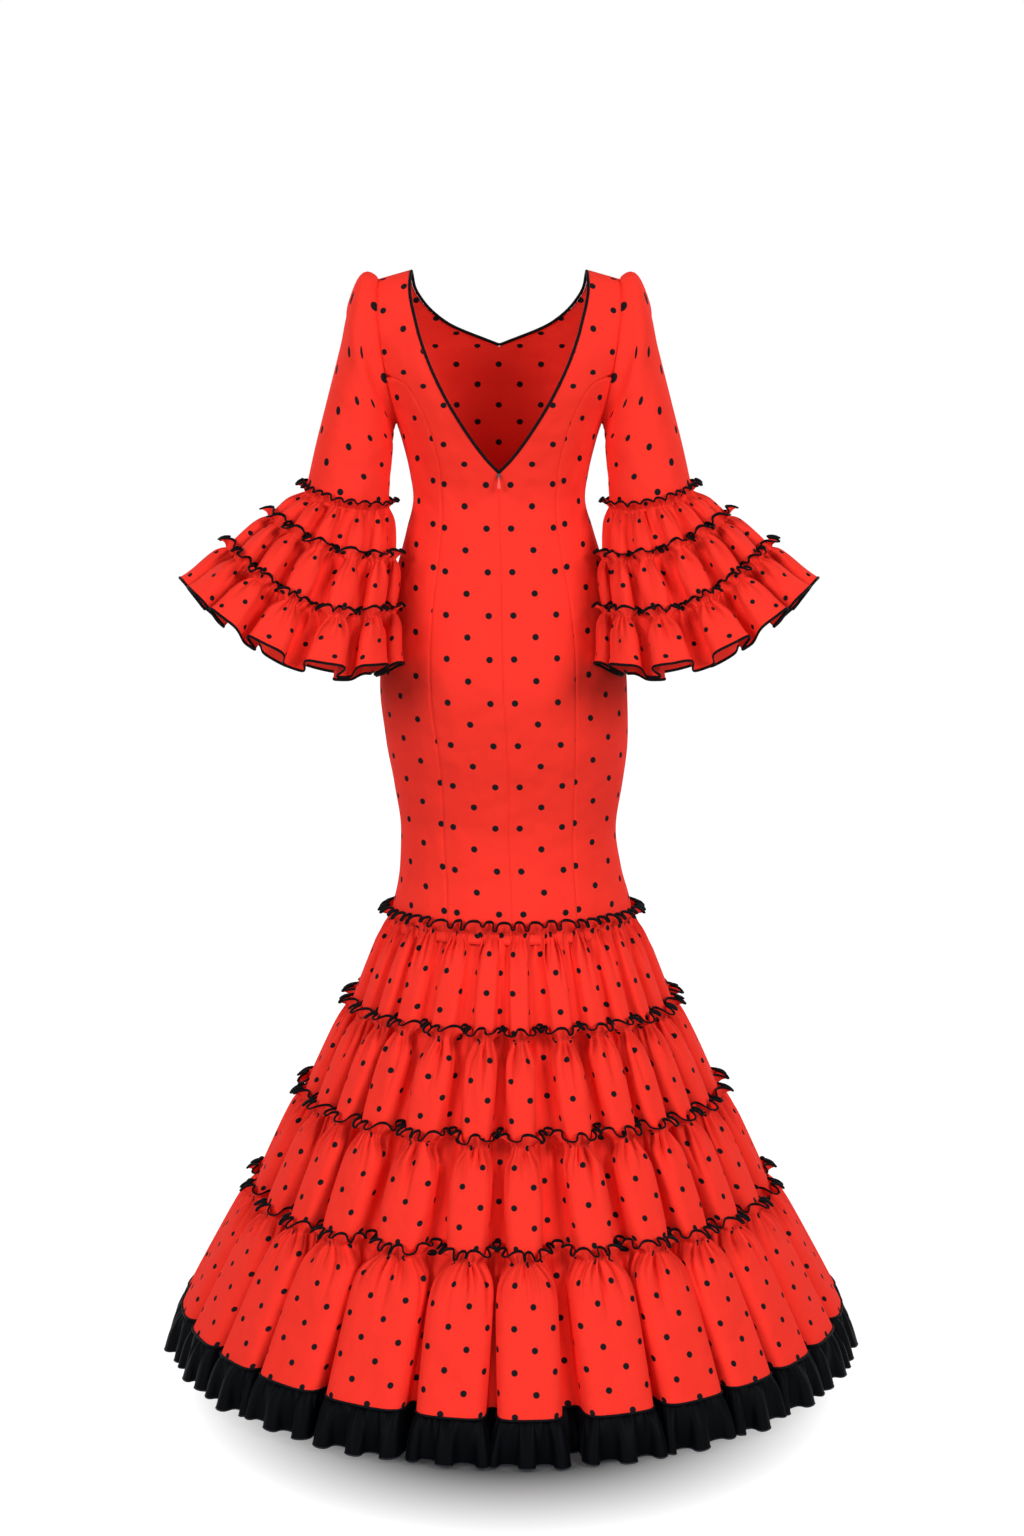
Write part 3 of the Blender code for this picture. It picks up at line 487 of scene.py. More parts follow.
def dot_mask(tree, flat, dot, pitch):
    """1 inside the printed dots: two square lattices, the second set in the first's gaps."""
    off = []
    for shift in (0.0, pitch / 2):
        moved = node(tree, "ShaderNodeVectorMath", {0: flat, 1: (shift, shift, 0)},
                     operation="ADD")
        # MODULO keeps the sign of its input, so the cloth's coordinates stay positive.
        cell = node(tree, "ShaderNodeVectorMath",
                    {0: moved.outputs[0], 1: (pitch, pitch, 1.0)}, operation="MODULO")
        middle = node(tree, "ShaderNodeVectorMath",
                      {0: cell.outputs[0], 1: (pitch / 2, pitch / 2, 0)}, operation="DISTANCE")
        off.append(middle.outputs["Value"])
    nearest = node(tree, "ShaderNodeMath", {0: off[0], 1: off[1]}, operation="MINIMUM")
    return node(tree, "ShaderNodeMapRange",
                {"Value": nearest.outputs[0], "From Min": dot / 2 + DOT_EDGE,
                 "From Max": dot / 2 - DOT_EDGE}).outputs[0]


def fine_gathers(tree, uv, gather_line):
    """How deep the finest gathers are, from 0 to 1, on both sides of the gather line."""
    height = node(tree, "ShaderNodeSeparateXYZ", {0: uv}).outputs["Y"]
    below = node(tree, "ShaderNodeMapRange",
                 {"Value": height, "From Min": -gather_line - GATHER_REACH,
                  "From Max": -gather_line}, interpolation_type="SMOOTHSTEP")
    above = node(tree, "ShaderNodeMapRange",
                 {"Value": height, "From Min": -gather_line, "From Max": 0.0,
                  "To Min": 1.0, "To Max": 0.2})
    fade = node(tree, "ShaderNodeMath", {0: below.outputs[0], 1: above.outputs[0]},
                operation="MULTIPLY")
    # The folds run down the cloth, so the noise is drawn out that way.
    drawn = node(tree, "ShaderNodeVectorMath", {0: uv, 1: (1.0, 0.10, 0.0)},
                 operation="MULTIPLY")
    noise = node(tree, "ShaderNodeTexNoise",
                 {"Vector": drawn.outputs[0], "Scale": GATHER_SCALE, "Detail": 1.0})
    off = node(tree, "ShaderNodeMath", {0: noise.outputs["Fac"], 1: 0.5}, operation="SUBTRACT")
    size = node(tree, "ShaderNodeMath", {0: off.outputs[0]}, operation="ABSOLUTE")
    groove = node(tree, "ShaderNodeMapRange",
                  {"Value": size.outputs[0], "From Max": GATHER_WIDTH,
                   "To Min": 1.0, "To Max": 0.0})
    return node(tree, "ShaderNodeMath", {0: groove.outputs[0], 1: fade.outputs[0]},
                operation="MULTIPLY").outputs[0]


def dotted_crepe(name, dot, pitch, gather_line=None):
    """Polyester crepe, piece-dyed and printed: matt, softly uneven, with a pebbled grain; where it
    is gathered, painted shade darkens the finest gathers.
    """
    cloth = bpy.context.scene.dress_cloth
    made, tree, shader = new_material(name, Roughness=0.80, Specular_IOR_Level=0.05)
    uv = node(tree, "ShaderNodeUVMap", uv_map="Cloth").outputs[0]
    flat = node(tree, "ShaderNodeVectorMath", {0: uv, 1: (20.0, 20.0, 0)},
                operation="ADD").outputs[0]
    place = node(tree, "ShaderNodeTexCoord").outputs["Object"]
    # Slow change of tone over 70 mm or so, where the cloth is dyed and pressed unevenly.
    tone = node(tree, "ShaderNodeTexNoise", {"Vector": place, "Scale": 14.0, "Detail": 3.0})
    red = node(tree, "ShaderNodeMix",
               {0: tone.outputs["Fac"], 6: linear("F23327"), 7: linear(cloth.red)},
               data_type="RGBA")
    # Soft unevenness some 40 mm across, as light cloth has where nothing holds it flat.
    slack = node(tree, "ShaderNodeTexNoise", {"Vector": place, "Scale": 26.0, "Detail": 1.5})
    bump = node(tree, "ShaderNodeBump",
                {"Height": slack.outputs["Fac"], "Strength": 0.5, "Distance": 0.010})
    if gather_line is not None:
        # The finest gathers are too small to model: they are bumps, with painted shade that
        # darkens the red in their grooves.
        groove = fine_gathers(tree, uv, gather_line)
        bump = node(tree, "ShaderNodeBump",
                    {"Height": groove, "Normal": bump.outputs[0], "Strength": 0.6,
                     "Distance": 0.0022}, invert=True)
        # Painted shade: the red is mixed toward a deep red in the grooves.
        painted_gather_shade = node(tree, "ShaderNodeMath", {0: groove, 1: 0.35}, operation="MULTIPLY")
        red = node(tree, "ShaderNodeMix",
                   {0: painted_gather_shade.outputs[0], 6: red.outputs[2], 7: linear("8C0500")},
                   data_type="RGBA")
    printed = node(tree, "ShaderNodeMix",
                   {0: dot_mask(tree, flat, dot, pitch), 6: red.outputs[2],
                    7: linear(cloth.dot)}, data_type="RGBA")
    # The crepe's pebbles are about 0.4 mm across; they are drawn 1.1 mm so that they show.
    grain = node(tree, "ShaderNodeTexNoise", {"Vector": place, "Scale": 900.0, "Detail": 2.0})
    pebbles = node(tree, "ShaderNodeBump",
                   {"Height": grain.outputs["Fac"], "Normal": bump.outputs[0],
                    "Strength": 0.12, "Distance": 0.0004})
    tree.links.new(printed.outputs[2], shader.inputs["Base Color"])
    tree.links.new(pebbles.outputs[0], shader.inputs["Normal"])
    return made


def add_grain(tree, shader, scale, detail, strength, distance):
    """Give a material a fine even relief, 1 / scale across in metres."""
    place = node(tree, "ShaderNodeTexCoord").outputs["Object"]
    grain = node(tree, "ShaderNodeTexNoise", {"Vector": place, "Scale": scale, "Detail": detail})
    bump = node(tree, "ShaderNodeBump", {"Height": grain.outputs["Fac"], "Strength": strength,
                                         "Distance": distance})
    tree.links.new(bump.outputs[0], shader.inputs["Normal"])


def black_cloth(name, colour, roughness, sheen, scale, strength, shine=0.04):
    """Black cloth with a woven or ribbed grain."""
    made, tree, shader = new_material(name, Base_Color=linear(colour), Roughness=roughness,
                                      Sheen_Weight=sheen, Sheen_Roughness=0.35,
                                      Sheen_Tint=linear("B9C4DA"), Specular_IOR_Level=shine)
    # Threads are 0.1 to 0.2 mm apart; the grain is drawn over 1 mm wide so that it shows.
    add_grain(tree, shader, scale, detail=3.0, strength=strength, distance=0.0004)
    return made


def lacquered_zinc(name, colour):
    """Die-cast zinc, sprayed: a smooth coloured coat with soft highlights."""
    made, tree, shader = new_material(name, Base_Color=linear(colour), Roughness=0.38,
                                      Coat_Weight=0.3, Coat_Roughness=0.2)
    # The sprayed coat waves very slightly, 0.7 mm across.
    add_grain(tree, shader, scale=1500.0, detail=2.0, strength=0.08, distance=0.0002)
    return made


def finish(name):
    """A material made before, by name, or made now."""
    found = bpy.data.materials.get(name)
    if found:
        return found
    scene = bpy.context.scene
    cloth, trim, ruffles = scene.dress_cloth, scene.dress_trim, scene.dress_ruffles
    makers = {
        # Width and pitch of the dots, and how far down the cloth its gathers are.
        "Printed crepe, panels": (dotted_crepe, cloth.panel_dot, cloth.pitch),
        "Printed crepe, tiers": (dotted_crepe, cloth.tier_dot, cloth.tier_pitch,
                                 ruffles.rise),
        "Printed crepe, flounces": (dotted_crepe, cloth.flounce_dot, cloth.flounce_pitch,
                                    FLOUNCE_RISE),
        # Colour, roughness, sheen, scale and strength of the grain, shine. Crepe goes fully
        # black in its folds; satin, folded on the bias, has a soft line of light; a rolled edge
        # has
        # real sheen and a painted highlight: its colour is painted greyer for the light on its
        # stitches.
        "Black crepe": (black_cloth, trim.frill, 0.55, 0.05, 700.0, 0.2, 0.05),
        "Black satin binding": (black_cloth, trim.black, 0.55, 0.0, 900.0, 0.25),
        "Black rolled edge": (black_cloth, "2A2C31", 0.35, 0.4, 900.0, 0.2),
        "Black lacquered zinc": (lacquered_zinc, "131316"),
        "Red lacquered zinc": (lacquered_zinc, "F0382C"),
    }
    maker, *values = makers[name]
    return maker(name, *values)


# ---------------- the fitted part
PANEL_STEP = 0.0065        # space between the rows of a panel
PANEL_COLUMNS = 17         # columns between those that crowd beside the seams
PANEL_TURN = 0.7           # turn of the line down which the rows of a panel are even,
SIDE_TURN = 1.1            # and of that on a side back


def even_heights(back, top, bottom, turn):
    """Heights whose rows lie evenly down the surface along a turn."""
    dense = top + (bottom - top) * np.linspace(0, 1, 1500) ** 2
    run = lengths_along(body_points(back, dense, turn))
    count = int(run[-1] / PANEL_STEP) + 1
    return np.interp(np.linspace(0, run[-1], count), run, dense)


def columns_to_edges(count):
    """Places from one edge of a panel to the other, closer together beside the seams."""
    near = np.array([0.0, 0.008, 0.02, 0.035, 0.055])
    middle = np.linspace(0.085, 1 - 0.085, count)
    return np.concatenate([near, middle, 1 - near[::-1]])


def seam_dip(points, seams):
    """How far the cloth sinks beside the seams of a panel; seams says which edges have one."""
    dip = np.zeros(points.shape[:2])
    for edge, seam in zip((0, -1), seams):
        off = np.linalg.norm(points - points[:, [edge]], axis=-1)
        dip += np.where(seam, SEAM_DIP, 0.0)[:, None] * np.exp(-(off / SEAM_REACH) ** 2)
    return dip


def make_panel(back, side, heights, near, far, seams, folds=(), shift=(0, 0)):
    """One panel of the fitted part between two edges given as turns at each height.

    seams says at which heights each edge has a seam, and shift moves the print. Returns the
    grid of points, their flat coordinates and their outward directions.
    """
    cells = columns_to_edges(PANEL_COLUMNS)
    turns = side * (near[:, None] + (far - near)[:, None] * cells[None])
    points = body_points(back, heights[:, None], turns)
    points[0, :, 1] = SEAM_GAP / 2 if back else -SEAM_GAP / 2
    down = lengths_along(points[:, len(cells) // 2])
    steps = np.linalg.norm(np.diff(points, axis=1), axis=-1)
    across = np.concatenate([np.zeros((len(heights), 1)), np.cumsum(steps, 1)], 1)
    first = np.abs(read(BODY, "side", heights) * near)[:, None]
    across = side * (across + first)
    centre = np.stack([read(BODY, "shift", heights), 0 * heights, heights], -1)[:, None]
    normals = pointing(surface_normals(points, False), points - centre)
    depth = seam_dip(points, seams) + fold_depth(side * across, down[:, None], folds)
    flat = np.stack(np.broadcast_arrays(across + shift[0], -down[:, None] + shift[1]), -1)
    return points - normals * depth[..., None], flat, normals


def turn_of(table, heights, gap=0.0):
    """Turn of an edge of a panel at heights, a gap further from the middle."""
    return body_turn(heights, read(table, "distance", heights) + gap)


def outer_edge(face, heights):
    """Turn of the armhole's edge and, below it, of the side seam."""
    return np.where(heights > UNDERARM, turn_of(ARMHOLE, heights),
                    pi / 2 - SEAM_GAP / read(BODY, face, heights))


# Folds across the small of the back and below the seat, then from under the arm inwards.
BACK_FOLDS = (
    Fold(0.020, 0.330, 0.075, 0.345, 0.0012, 0.009),
    Fold(0.012, 0.362, 0.085, 0.372, 0.0010, 0.010),
    Fold(0.030, 0.300, 0.070, 0.322, 0.0009, 0.008),
    Fold(0.015, 0.640, 0.090, 0.668, 0.0010, 0.014),
)
SIDE_FOLDS = (
    Fold(0.150, 0.060, 0.110, 0.200, 0.0018, 0.009),
    Fold(0.135, 0.150, 0.100, 0.215, 0.0012, 0.007),
    Fold(0.150, 0.195, 0.090, 0.240, 0.0010, 0.008),
)


class BuildFittedPart(bpy.types.Operator):
    """Build the panels of the fitted part"""
    bl_idname = "dress.build_fitted_part"
    bl_label = "Fitted part"

    def execute(self, context):
        crepe, thickness = finish("Printed crepe, panels"), context.scene.dress_cloth.thickness
        for side, label in SIDES:
            heights = even_heights(True, 0.0, BODY_HEM, side * PANEL_TURN)
            near = body_turn(heights, np.where(
                heights > NECK_TIP, read(BACK_NECK, "distance", heights), SEAM_GAP / 2))
            far = np.where(heights > PRINCESS_TOP, turn_of(ARMHOLE, heights),
                           turn_of(PRINCESS, heights, -SEAM_GAP / 2))
            back = make_panel(True, side, heights, near, far, (heights < NECK_TIP, heights < 0),
                              BACK_FOLDS, (0.013 * side, 0.01))
            heights = even_heights(True, PRINCESS_TOP, BODY_HEM, side * SIDE_TURN)
            near = turn_of(PRINCESS, heights, SEAM_GAP / 2)
            side_back = make_panel(True, side, heights, near, outer_edge("back", heights),
                                   (heights < 0, heights < 0), SIDE_FOLDS,
                                   (0.021 * side, 0.024))
            for name, panel, flat, area in (("back_", back, (0.17, 0.96), 0.094),
                                            ("side_back_", side_back, (0.14, 0.80), 0.085)):
                points, place, normals = panel
                piece = cloth_piece(name + label, points, place, crepe, normals,
                                    thickness=thickness)
                solid = "body_" + name + label
                wear(piece, "red_dotted_crepe", solid)
        self.front(crepe, thickness)
        return {"FINISHED"}

    def front(self, crepe, thickness):
        """The front is one piece, joined from its two halves."""
        heights = even_heights(False, 0.0, BODY_HEM, PANEL_TURN)
        # A row lies on the neckline's lowest point, where the two halves join.
        heights[np.argmin(np.abs(heights - FRONT_TIP))] = FRONT_TIP
        near = np.where(heights > FRONT_TIP, turn_of(FRONT_NECK, heights), 0.0)
        far = outer_edge("front", heights)
        seams = (np.zeros(len(heights), bool), heights < 0)
        mesh = bmesh.new()
        for side, label in SIDES:
            points, place, normals = make_panel(False, side, heights, near, far, seams)
            half = cloth_piece("front_" + label, points, place, crepe, normals)
            mesh.from_mesh(half.data)
            bpy.data.objects.remove(half)
        bmesh.ops.remove_doubles(mesh, verts=mesh.verts, dist=2e-5)
        data = mesh_data("front", mesh)
        data.shade_smooth()
        piece = add_piece("front", data, crepe, thickness)
        wear(piece, "red_dotted_crepe", "body_front")


# ---------------- flutes and gathers
NARROWING = 0.10           # how far a fully open strip narrows the crests beside it
STRIP_SINK = 0.25          # how much deeper a fully open strip lies
KNEE_RISE = 0.03           # from the skirt's first gathers up to a line on the fitted part
SEAM_SHAPE = (0.04, 0.04)  # square and wide of the skirt's flutes, gathered in a seam
HEM_SHAPE = (0.14, 0.40)   # and at the hem
WAVE_UNEVEN = 0.22         # unevenness of the waves' lengths
Flutes = namedtuple("Flutes", "angle stand push over strip")


def flutes_at(crests, places, square, wide, strips):
    """Angle round a ring at places counted in flutes, and how each place lies in its flute.

    square steepens the sides of a flute until they overhang, and wide spreads its crest over
    the valleys; strips opens each valley from 0 to 1. stand is 1 on a crest and 0 in a
    valley, and push and over are sideways moves that widen a crest and overhang its sides.
    """
    crests, strips = np.radians(crests), np.asarray(strips, float)
    before = np.roll(crests, 1)
    before[0] -= 2 * pi
    valleys = (before + crests) / 2
    following = np.roll(valleys, -1)
    following[-1] += 2 * pi
    flute = np.floor(places).astype(int) % len(crests)
    part = 2 * (places % 1) - 1
    half = np.where(part < 0, crests[flute] - valleys[flute], following[flute] - crests[flute])
    strip = np.where(part < 0, strips[flute], np.roll(strips, -1)[flute])
    swing = (part + square * np.sin(2 * pi * part)
             + (wide - (wide + NARROWING) * strip) * np.sin(pi * part))
    stand = (1 + np.cos(pi * part)) / 2
    stand = stand * stand * (3 - 2 * stand)      # flat crests and flat valleys, steep sides
    return Flutes(crests[flute] + half * swing, stand,
                  half * np.sin(pi * part), half * np.sin(2 * pi * part), strip)


def skirt_ring(level, places, shape=None):
    """The skirt's seam of a level at places counted in flutes, and how they lie.

    Level 0 is the seam on the fitted part, and level -1 a line above it.
    """
    seam = SKIRT_SEAMS[max(level, 0)]
    if level <= 0:
        strips = SKIRT_STRIPS if level else np.zeros(len(SKIRT_CRESTS))
        lie = flutes_at(SKIRT_CRESTS, places, 0.0, 0.0, strips)
        ring = knee_ring(lie.angle, seam.height - level * KNEE_RISE)
    else:
        free = level == SKIRT_COUNT
        square, wide = shape or (HEM_SHAPE if free else SEAM_SHAPE)
        strips = np.array(SKIRT_STRIPS) * (HEM_STRIPS if free else 1.0)
        lie = flutes_at(SKIRT_CRESTS, places, square, wide, strips)
        reach = seam.radius - seam.depth * (1 - lie.stand) * (1 + STRIP_SINK * lie.strip)
        dip = BACK_DIP if free else 0.0
        low = seam.height - dip * np.clip(np.cos(lie.angle - radians(BACK_DIP_TURN)), 0, 1) ** 2
        deep = np.where(np.cos(lie.angle) > 0, SKIRT_BACK, SKIRT_FRONT)
        ring = np.stack([SKIRT_SHIFT - reach * np.sin(lie.angle),
                         reach * np.cos(lie.angle) * deep, low], -1)
    return ring, lie._replace(push=lie.push * seam.radius, over=lie.over * seam.radius)


def knee_ring(angles, height):
    """Ring round the fitted part's lower end."""
    back = np.cos(angles) > 0
    return body_points(back, height, np.where(back, -angles, angles - pi))


def even_places(gathers_of, cloth_of, flutes, period, per_wave, seed):
    """Places evenly along a ring of cloth, the phase of its gathers' waves there, and lengths.

    Each flute takes an even number of uneven waves: at phase 0, in the middle of a valley and
    of a crest, a wave stands up, and half a turn on it falls outwards. The lengths are those
    of the ring of gathers and of the ring of cloth.
    """
    per_flute = 80
    dense = np.linspace(0, flutes, flutes * per_flute + 1)
    run = lengths_along(gathers_of(dense))
    cloth = lengths_along(cloth_of(dense))
    # Waves and columns crowd where the cloth is fullest, but a third keep to the gathers.
    spaced = cloth / cloth[-1] * 2 / 3 + run / run[-1] / 3
    measure = spaced * run[-1]
    ends = measure[::per_flute]
    chance = np.random.default_rng(seed)
    knots, turns = [0.0], [0.0]
    for start, end in zip(ends[:-1], ends[1:]):
        number = 2 * max(int(round((end - start) / period / 2)), 1)
        widths = 1 + WAVE_UNEVEN * chance.uniform(-1, 1, number)
        knots.extend(start + np.cumsum(widths) / np.sum(widths) * (end - start))
        turns.extend(turns[-1] + 2 * pi * np.arange(1, number + 1))
    count = (len(knots) - 1) * per_wave
    places = np.interp(np.arange(count) / count, spaced, dense)
    phase = np.interp(np.interp(places, dense, measure), knots, turns)
    return places, phase, run[-1], cloth[-1]


# Uneven creases that start at the gathers: their mean spacing, depth and length, their half
# width as a share of the spacing, and how sharply they end.
Creases = namedtuple("Creases", "step depth length width sharp")

# How a tier is gathered. Its heading: length of a wave, height, angles of its standing and
# fallen waves, and how much further the fallen ones droop to their edge. Its fall: how far
# crests and valleys puff out, how far crests spread over the valleys and are drawn in at the
# gathers, how soon below them this starts, and how far the foot flares. Then its creases:
# sharp pleats under the thread, creases, and long soft folds.
Gather = namedtuple("Gather", "period rise lean fall droop puff valley_puff spread draw_in "
                    "neck flare pleats creases folds")

WAVE_WIDEN = 0.10          # sideways moves of a heading's wave as shares of its length:
WAVE_CURL = 0.07           # its fallen part widens, and its edges curl back
HEADING_CALM = 0.85        # how far the waves in a valley fall, next to those on a crest
LOOSE_UNEVEN = 0.30        # unevenness of the waves' fall
RISE_UNEVEN = 0.10         # and of the heading's height
GATHER_GAP = 0.0018        # how far the gathers stand off the cloth that they are sewn to
CREST_LEAN = 0.08          # how far a crest overhangs its sides
PINCH_DOWN = 0.010         # how far below the gathers the cloth is drawn in most
PINCH_REACH = 0.011
CREASE_START = 0.22        # share of a crease's depth right at the gathers
CREASE_GROW = 0.010        # how far down it reaches its full depth
PLEAT_GROW = 0.003
FIRST_STAND = 0.35         # how far the valleys of a first tier stand out


def crease_field(count, girth, run, creases, seed):
    """Depth of uneven creases that start at the gathers and run down the columns."""
    chance = np.random.default_rng(seed)
    number = max(int(girth / creases.step), 3)
    starts = (np.arange(number) + chance.uniform(-0.42, 0.42, number)) / number
    depths = creases.depth * chance.uniform(0.45, 1.2, number)
    reaches = creases.length * chance.uniform(0.35, 1.5, number)
    widths = creases.step * creases.width * chance.uniform(0.7, 1.3, number) / girth
    place = np.arange(count) / count
    off = (place[None] - starts[:, None] + 0.5) % 1 - 0.5
    shape = np.exp(-np.abs(off / widths[:, None]) ** (2 / creases.sharp))
    fade = np.clip(1 - run[:, None] / reaches[None], 0, 1) ** 1.2
    return fade @ (depths[:, None] * shape)


def gathered_cloth(upper, top, bottom, lie, phase, free_foot, sizes, rows, girth, seed):
    """A tier of cloth gathered on a ring, with its standing heading.

    upper, top and bottom are rings of points: above the gathers, at the gathers and at the
    foot; a foot that isn't free is held in by the next gathers. Returns the grid of points
    from the heading's edge to the foot, its outward directions, and how far down the cloth
    each row lies.
    """
    count = len(top)
    along = along_ring(top)
    up = unit(upper - top)
    from_middle = top - top.mean(0)
    out = pointing(unit(np.cross(along, up)), from_middle)
    round_it = pointing(unit(np.cross(unit(up.mean(0))[None], from_middle)), along)
    gathers = top + out * GATHER_GAP

    # The fall, from the gathers to the foot.
    fall = bottom - gathers
    length = float(np.linalg.norm(fall, axis=-1).mean())
    out_fall = pointing(unit(np.cross(unit(fall), along)), from_middle)
    share = np.linspace(0, 1, rows) ** 1.5
    v = share[:, None]
    run = share * length
    shoulder = 1 - np.exp(-v * length / sizes.neck)
    held = (1 - v) if free_foot else 1 - np.exp((v - 1) * length / sizes.neck)
    fullness = sizes.valley_puff + (sizes.puff - sizes.valley_puff) * lie.stand
    turn_out = unit(out[None] * (1 - v[..., None]) + out_fall[None] * v[..., None])
    side = shoulder * held * (sizes.spread * lie.push * (1 - lie.strip)
                              + CREST_LEAN * lie.over)[None]
    # Drawn in tightly just under the gathers.
    pinch = np.exp(-((v * length - PINCH_DOWN) / PINCH_REACH) ** 2)
    side = side - sizes.draw_in * lie.push[None] * pinch
    creases = (crease_field(count, girth, run, sizes.creases, seed)
               + crease_field(count, girth, run, sizes.folds, seed + 1))
    # Nothing sinks into the cloth under the gathers.
    creases = creases * (CREASE_START
                         + (1 - CREASE_START) * np.clip(v * length / CREASE_GROW, 0, 1))
    pleats = crease_field(count, girth, run, sizes.pleats, seed + 5)
    offset = (shoulder * (1 - v) ** 0.8 * fullness[None] - creases
              - pleats * np.clip(v * length / PLEAT_GROW, 0.3, 1)
              + sizes.flare * v ** 5 * lie.stand[None])
    points = (gathers[None] + fall[None] * v[..., None] + turn_out * offset[..., None]
              + round_it[None] * side[..., None])

    # The heading, from the gathers up to its edge: each wave stands up or falls outwards.
    waves = int(round(phase[-1] / (2 * pi)))
    uneven = slow_noise(count, (waves // 3, waves // 2, waves // 5 + 1), seed + 3)
    loose = 1 + LOOSE_UNEVEN * slow_noise(count, (waves // 2, waves // 4 + 1), seed + 4)
    free = HEADING_CALM + (1 - HEADING_CALM) * lie.stand
    upright = unit(up * cos(sizes.lean) + out * sin(sizes.lean))
    level_out = unit(out * LEVEL)
    fallen = np.abs(np.sin(phase / 2)) * free * loose
    rise = sizes.rise / HEADING_ROWS * (1 + RISE_UNEVEN * uneven)
    sway = (sizes.period * WAVE_WIDEN * np.sin(phase)
            + sizes.period * WAVE_CURL * np.sin(2 * phase))
    steps = np.linspace(0, 1, HEADING_ROWS + 1)[1:]
    line = gathers
    heading = []
    for step in steps:
        tip = sizes.fall + sizes.droop * step
        droop = level_out * sin(tip) + UP * cos(tip)
        share_down = np.clip(fallen * step ** 0.4, 0, 1)[:, None]
        along_rise = unit(upright * (1 - share_down) + droop * share_down)
        line = line + along_rise * rise[:, None]
        slide = sway * step * free
        sink = pleats[0] * 1.2 * (1 - step) ** 1.5
        heading.append(line + along * slide[:, None] - out * sink[:, None])
    heading = np.array(heading[::-1])
    for _ in range(2):
        heading = (np.roll(heading, 1, 1) + 2 * heading + np.roll(heading, -1, 1)) / 4
    points = np.concatenate([heading, points])
    down = np.concatenate([sizes.rise * (1 - steps[::-1]), sizes.rise + run])
    outward = np.concatenate([np.repeat(out[None], len(steps), 0), turn_out])
    return points, outward, down


def gathered_tier(ring_at, flutes, level, free, sizes, columns, rows, seed, *shape):
    """The tier between two levels of rings: its grid, outward directions and lengths down.

    ring_at gives a level's ring and how it lies; the columns are spread evenly along the
    cloth's own ring, which may be given another shape.
    """
    places, phase, _, girth = even_places(
        lambda at: ring_at(level - 1, at)[0], lambda at: ring_at(level, at, *shape)[0],
        flutes, sizes.period, columns, seed + 2)
    upper, top = ring_at(level - 2, places)[0], ring_at(level - 1, places)[0]
    bottom, lie = ring_at(level, places)
    if level == 1:
        lie = lie._replace(stand=FIRST_STAND + (1 - FIRST_STAND) * lie.stand)
    grid = gathered_cloth(upper, top, bottom, lie, phase, free, sizes, rows, girth, seed)
    return (*grid, lengths_round(bottom)[-1])


def flat_grid(across, down):
    """Flat coordinates of a closed grid, from lengths across and down."""
    return np.stack(np.broadcast_arrays(across[None], -down[:, None]), -1)


def add_tier(name, grid, solid, crepe, mirror=1.0):
    """Add a gathered tier, cut to a share of a straight strip, and its heading's binding."""
    points, outward, down = grid
    flat = flat_grid(lengths_round(points[HEADING_ROWS + MEASURED_ROW]), down)
    piece = cloth_piece(name, points * mirror, flat, crepe, outward * mirror, True)
    wear(piece, "red_dotted_crepe", solid)
    # A tier is cut as a curved strip, shorter along its gathers than at its foot.
    edge_binding(name + "_heading_binding", points[0] * mirror, points[1] * mirror,
                 bpy.context.scene.dress_trim.binding, finish("Black satin binding"))


# For each tier: columns in a wave of its heading, the wave's length over the scallop, how far
# its crests spread and are drawn in, and its flat width over its length at the foot.
Tier = namedtuple("Tier", "columns wave spread draw_in fullness")
TIERS = (Tier(26, 0.78, 0.14, 0.06, 1.12), Tier(16, 0.68, 0.14, 0.07, 1.18),
         Tier(16, 0.70, 0.18, 0.07, 1.20), Tier(17, 0.74, 0.30, 0.03, 1.22))
TIER_PLEATS = Creases(0.0080, 0.0018, 0.016, 0.26, 1.0)
TIER_CREASES = Creases(0.0200, 0.0150, 0.062, 0.19, 1.4)
TIER_FOLDS = Creases(0.062, 0.0060, 0.110, 0.16, 1.0)


class BuildSkirt(bpy.types.Operator):
    """Build the four gathered tiers with their headings and bindings"""
    bl_idname = "dress.build_skirt"
    bl_label = "Skirt tiers"

    def execute(self, context):
        ruffles = context.scene.dress_ruffles
        for level, tier in enumerate(TIERS, 1):
            free = level == SKIRT_COUNT
            sizes = Gather(
                period=ruffles.scallop * tier.wave, rise=ruffles.rise, lean=ruffles.lean,
                fall=ruffles.fall, droop=0.6, puff=0.0085,
                valley_puff=0.0020 if free else -0.0030, spread=tier.spread,
                draw_in=tier.draw_in, neck=0.015, flare=0.0, pleats=TIER_PLEATS,
                creases=TIER_CREASES, folds=TIER_FOLDS)
            *grid, foot = gathered_tier(
                skirt_ring, len(SKIRT_CRESTS), level, free, sizes, tier.columns, SKIRT_ROWS,
                100 * level, HEM_SHAPE)
            add_tier("tier_%d" % level, grid,
                     "skirt_tier_%d" % level,
                     finish("Printed crepe, tiers"))
        return {"FINISHED"}


# ---------------- the hem
CORD_PROUD = 0.0008        # how far the cord stands out from the hem
FRILL_ROWS = 12
FRILL_DROP = 0.056
FRILL_TURN = 0.008         # cloth turned in at the frill's upper edge
FRILL_RAISE = 0.005        # how far above the hem and
FRILL_INSIDE = 0.0022      # how far inside it the frill starts
FRILL_FLARE = 0.020
FRILL_BELLY = 0.006        # how far it bellies out on its way down
FRILL_SWAY = 0.0100        # half depth of its waves
FRILL_SLIDE = 0.0040       # how far a wave's crest widens to each side
FRILL_COLUMNS = 16         # columns in a wave
FRILL_CREASES = Creases(0.0125, 0.0085, 0.046, 0.24, 1.4)
FRILL_FULLNESS = 1.35      # flat width over the length of the hem
ROLLED_EDGE = 0.0019


def hem_ring(places):
    """The skirt's hem at places counted in flutes."""
    return skirt_ring(SKIRT_COUNT, places)[0]


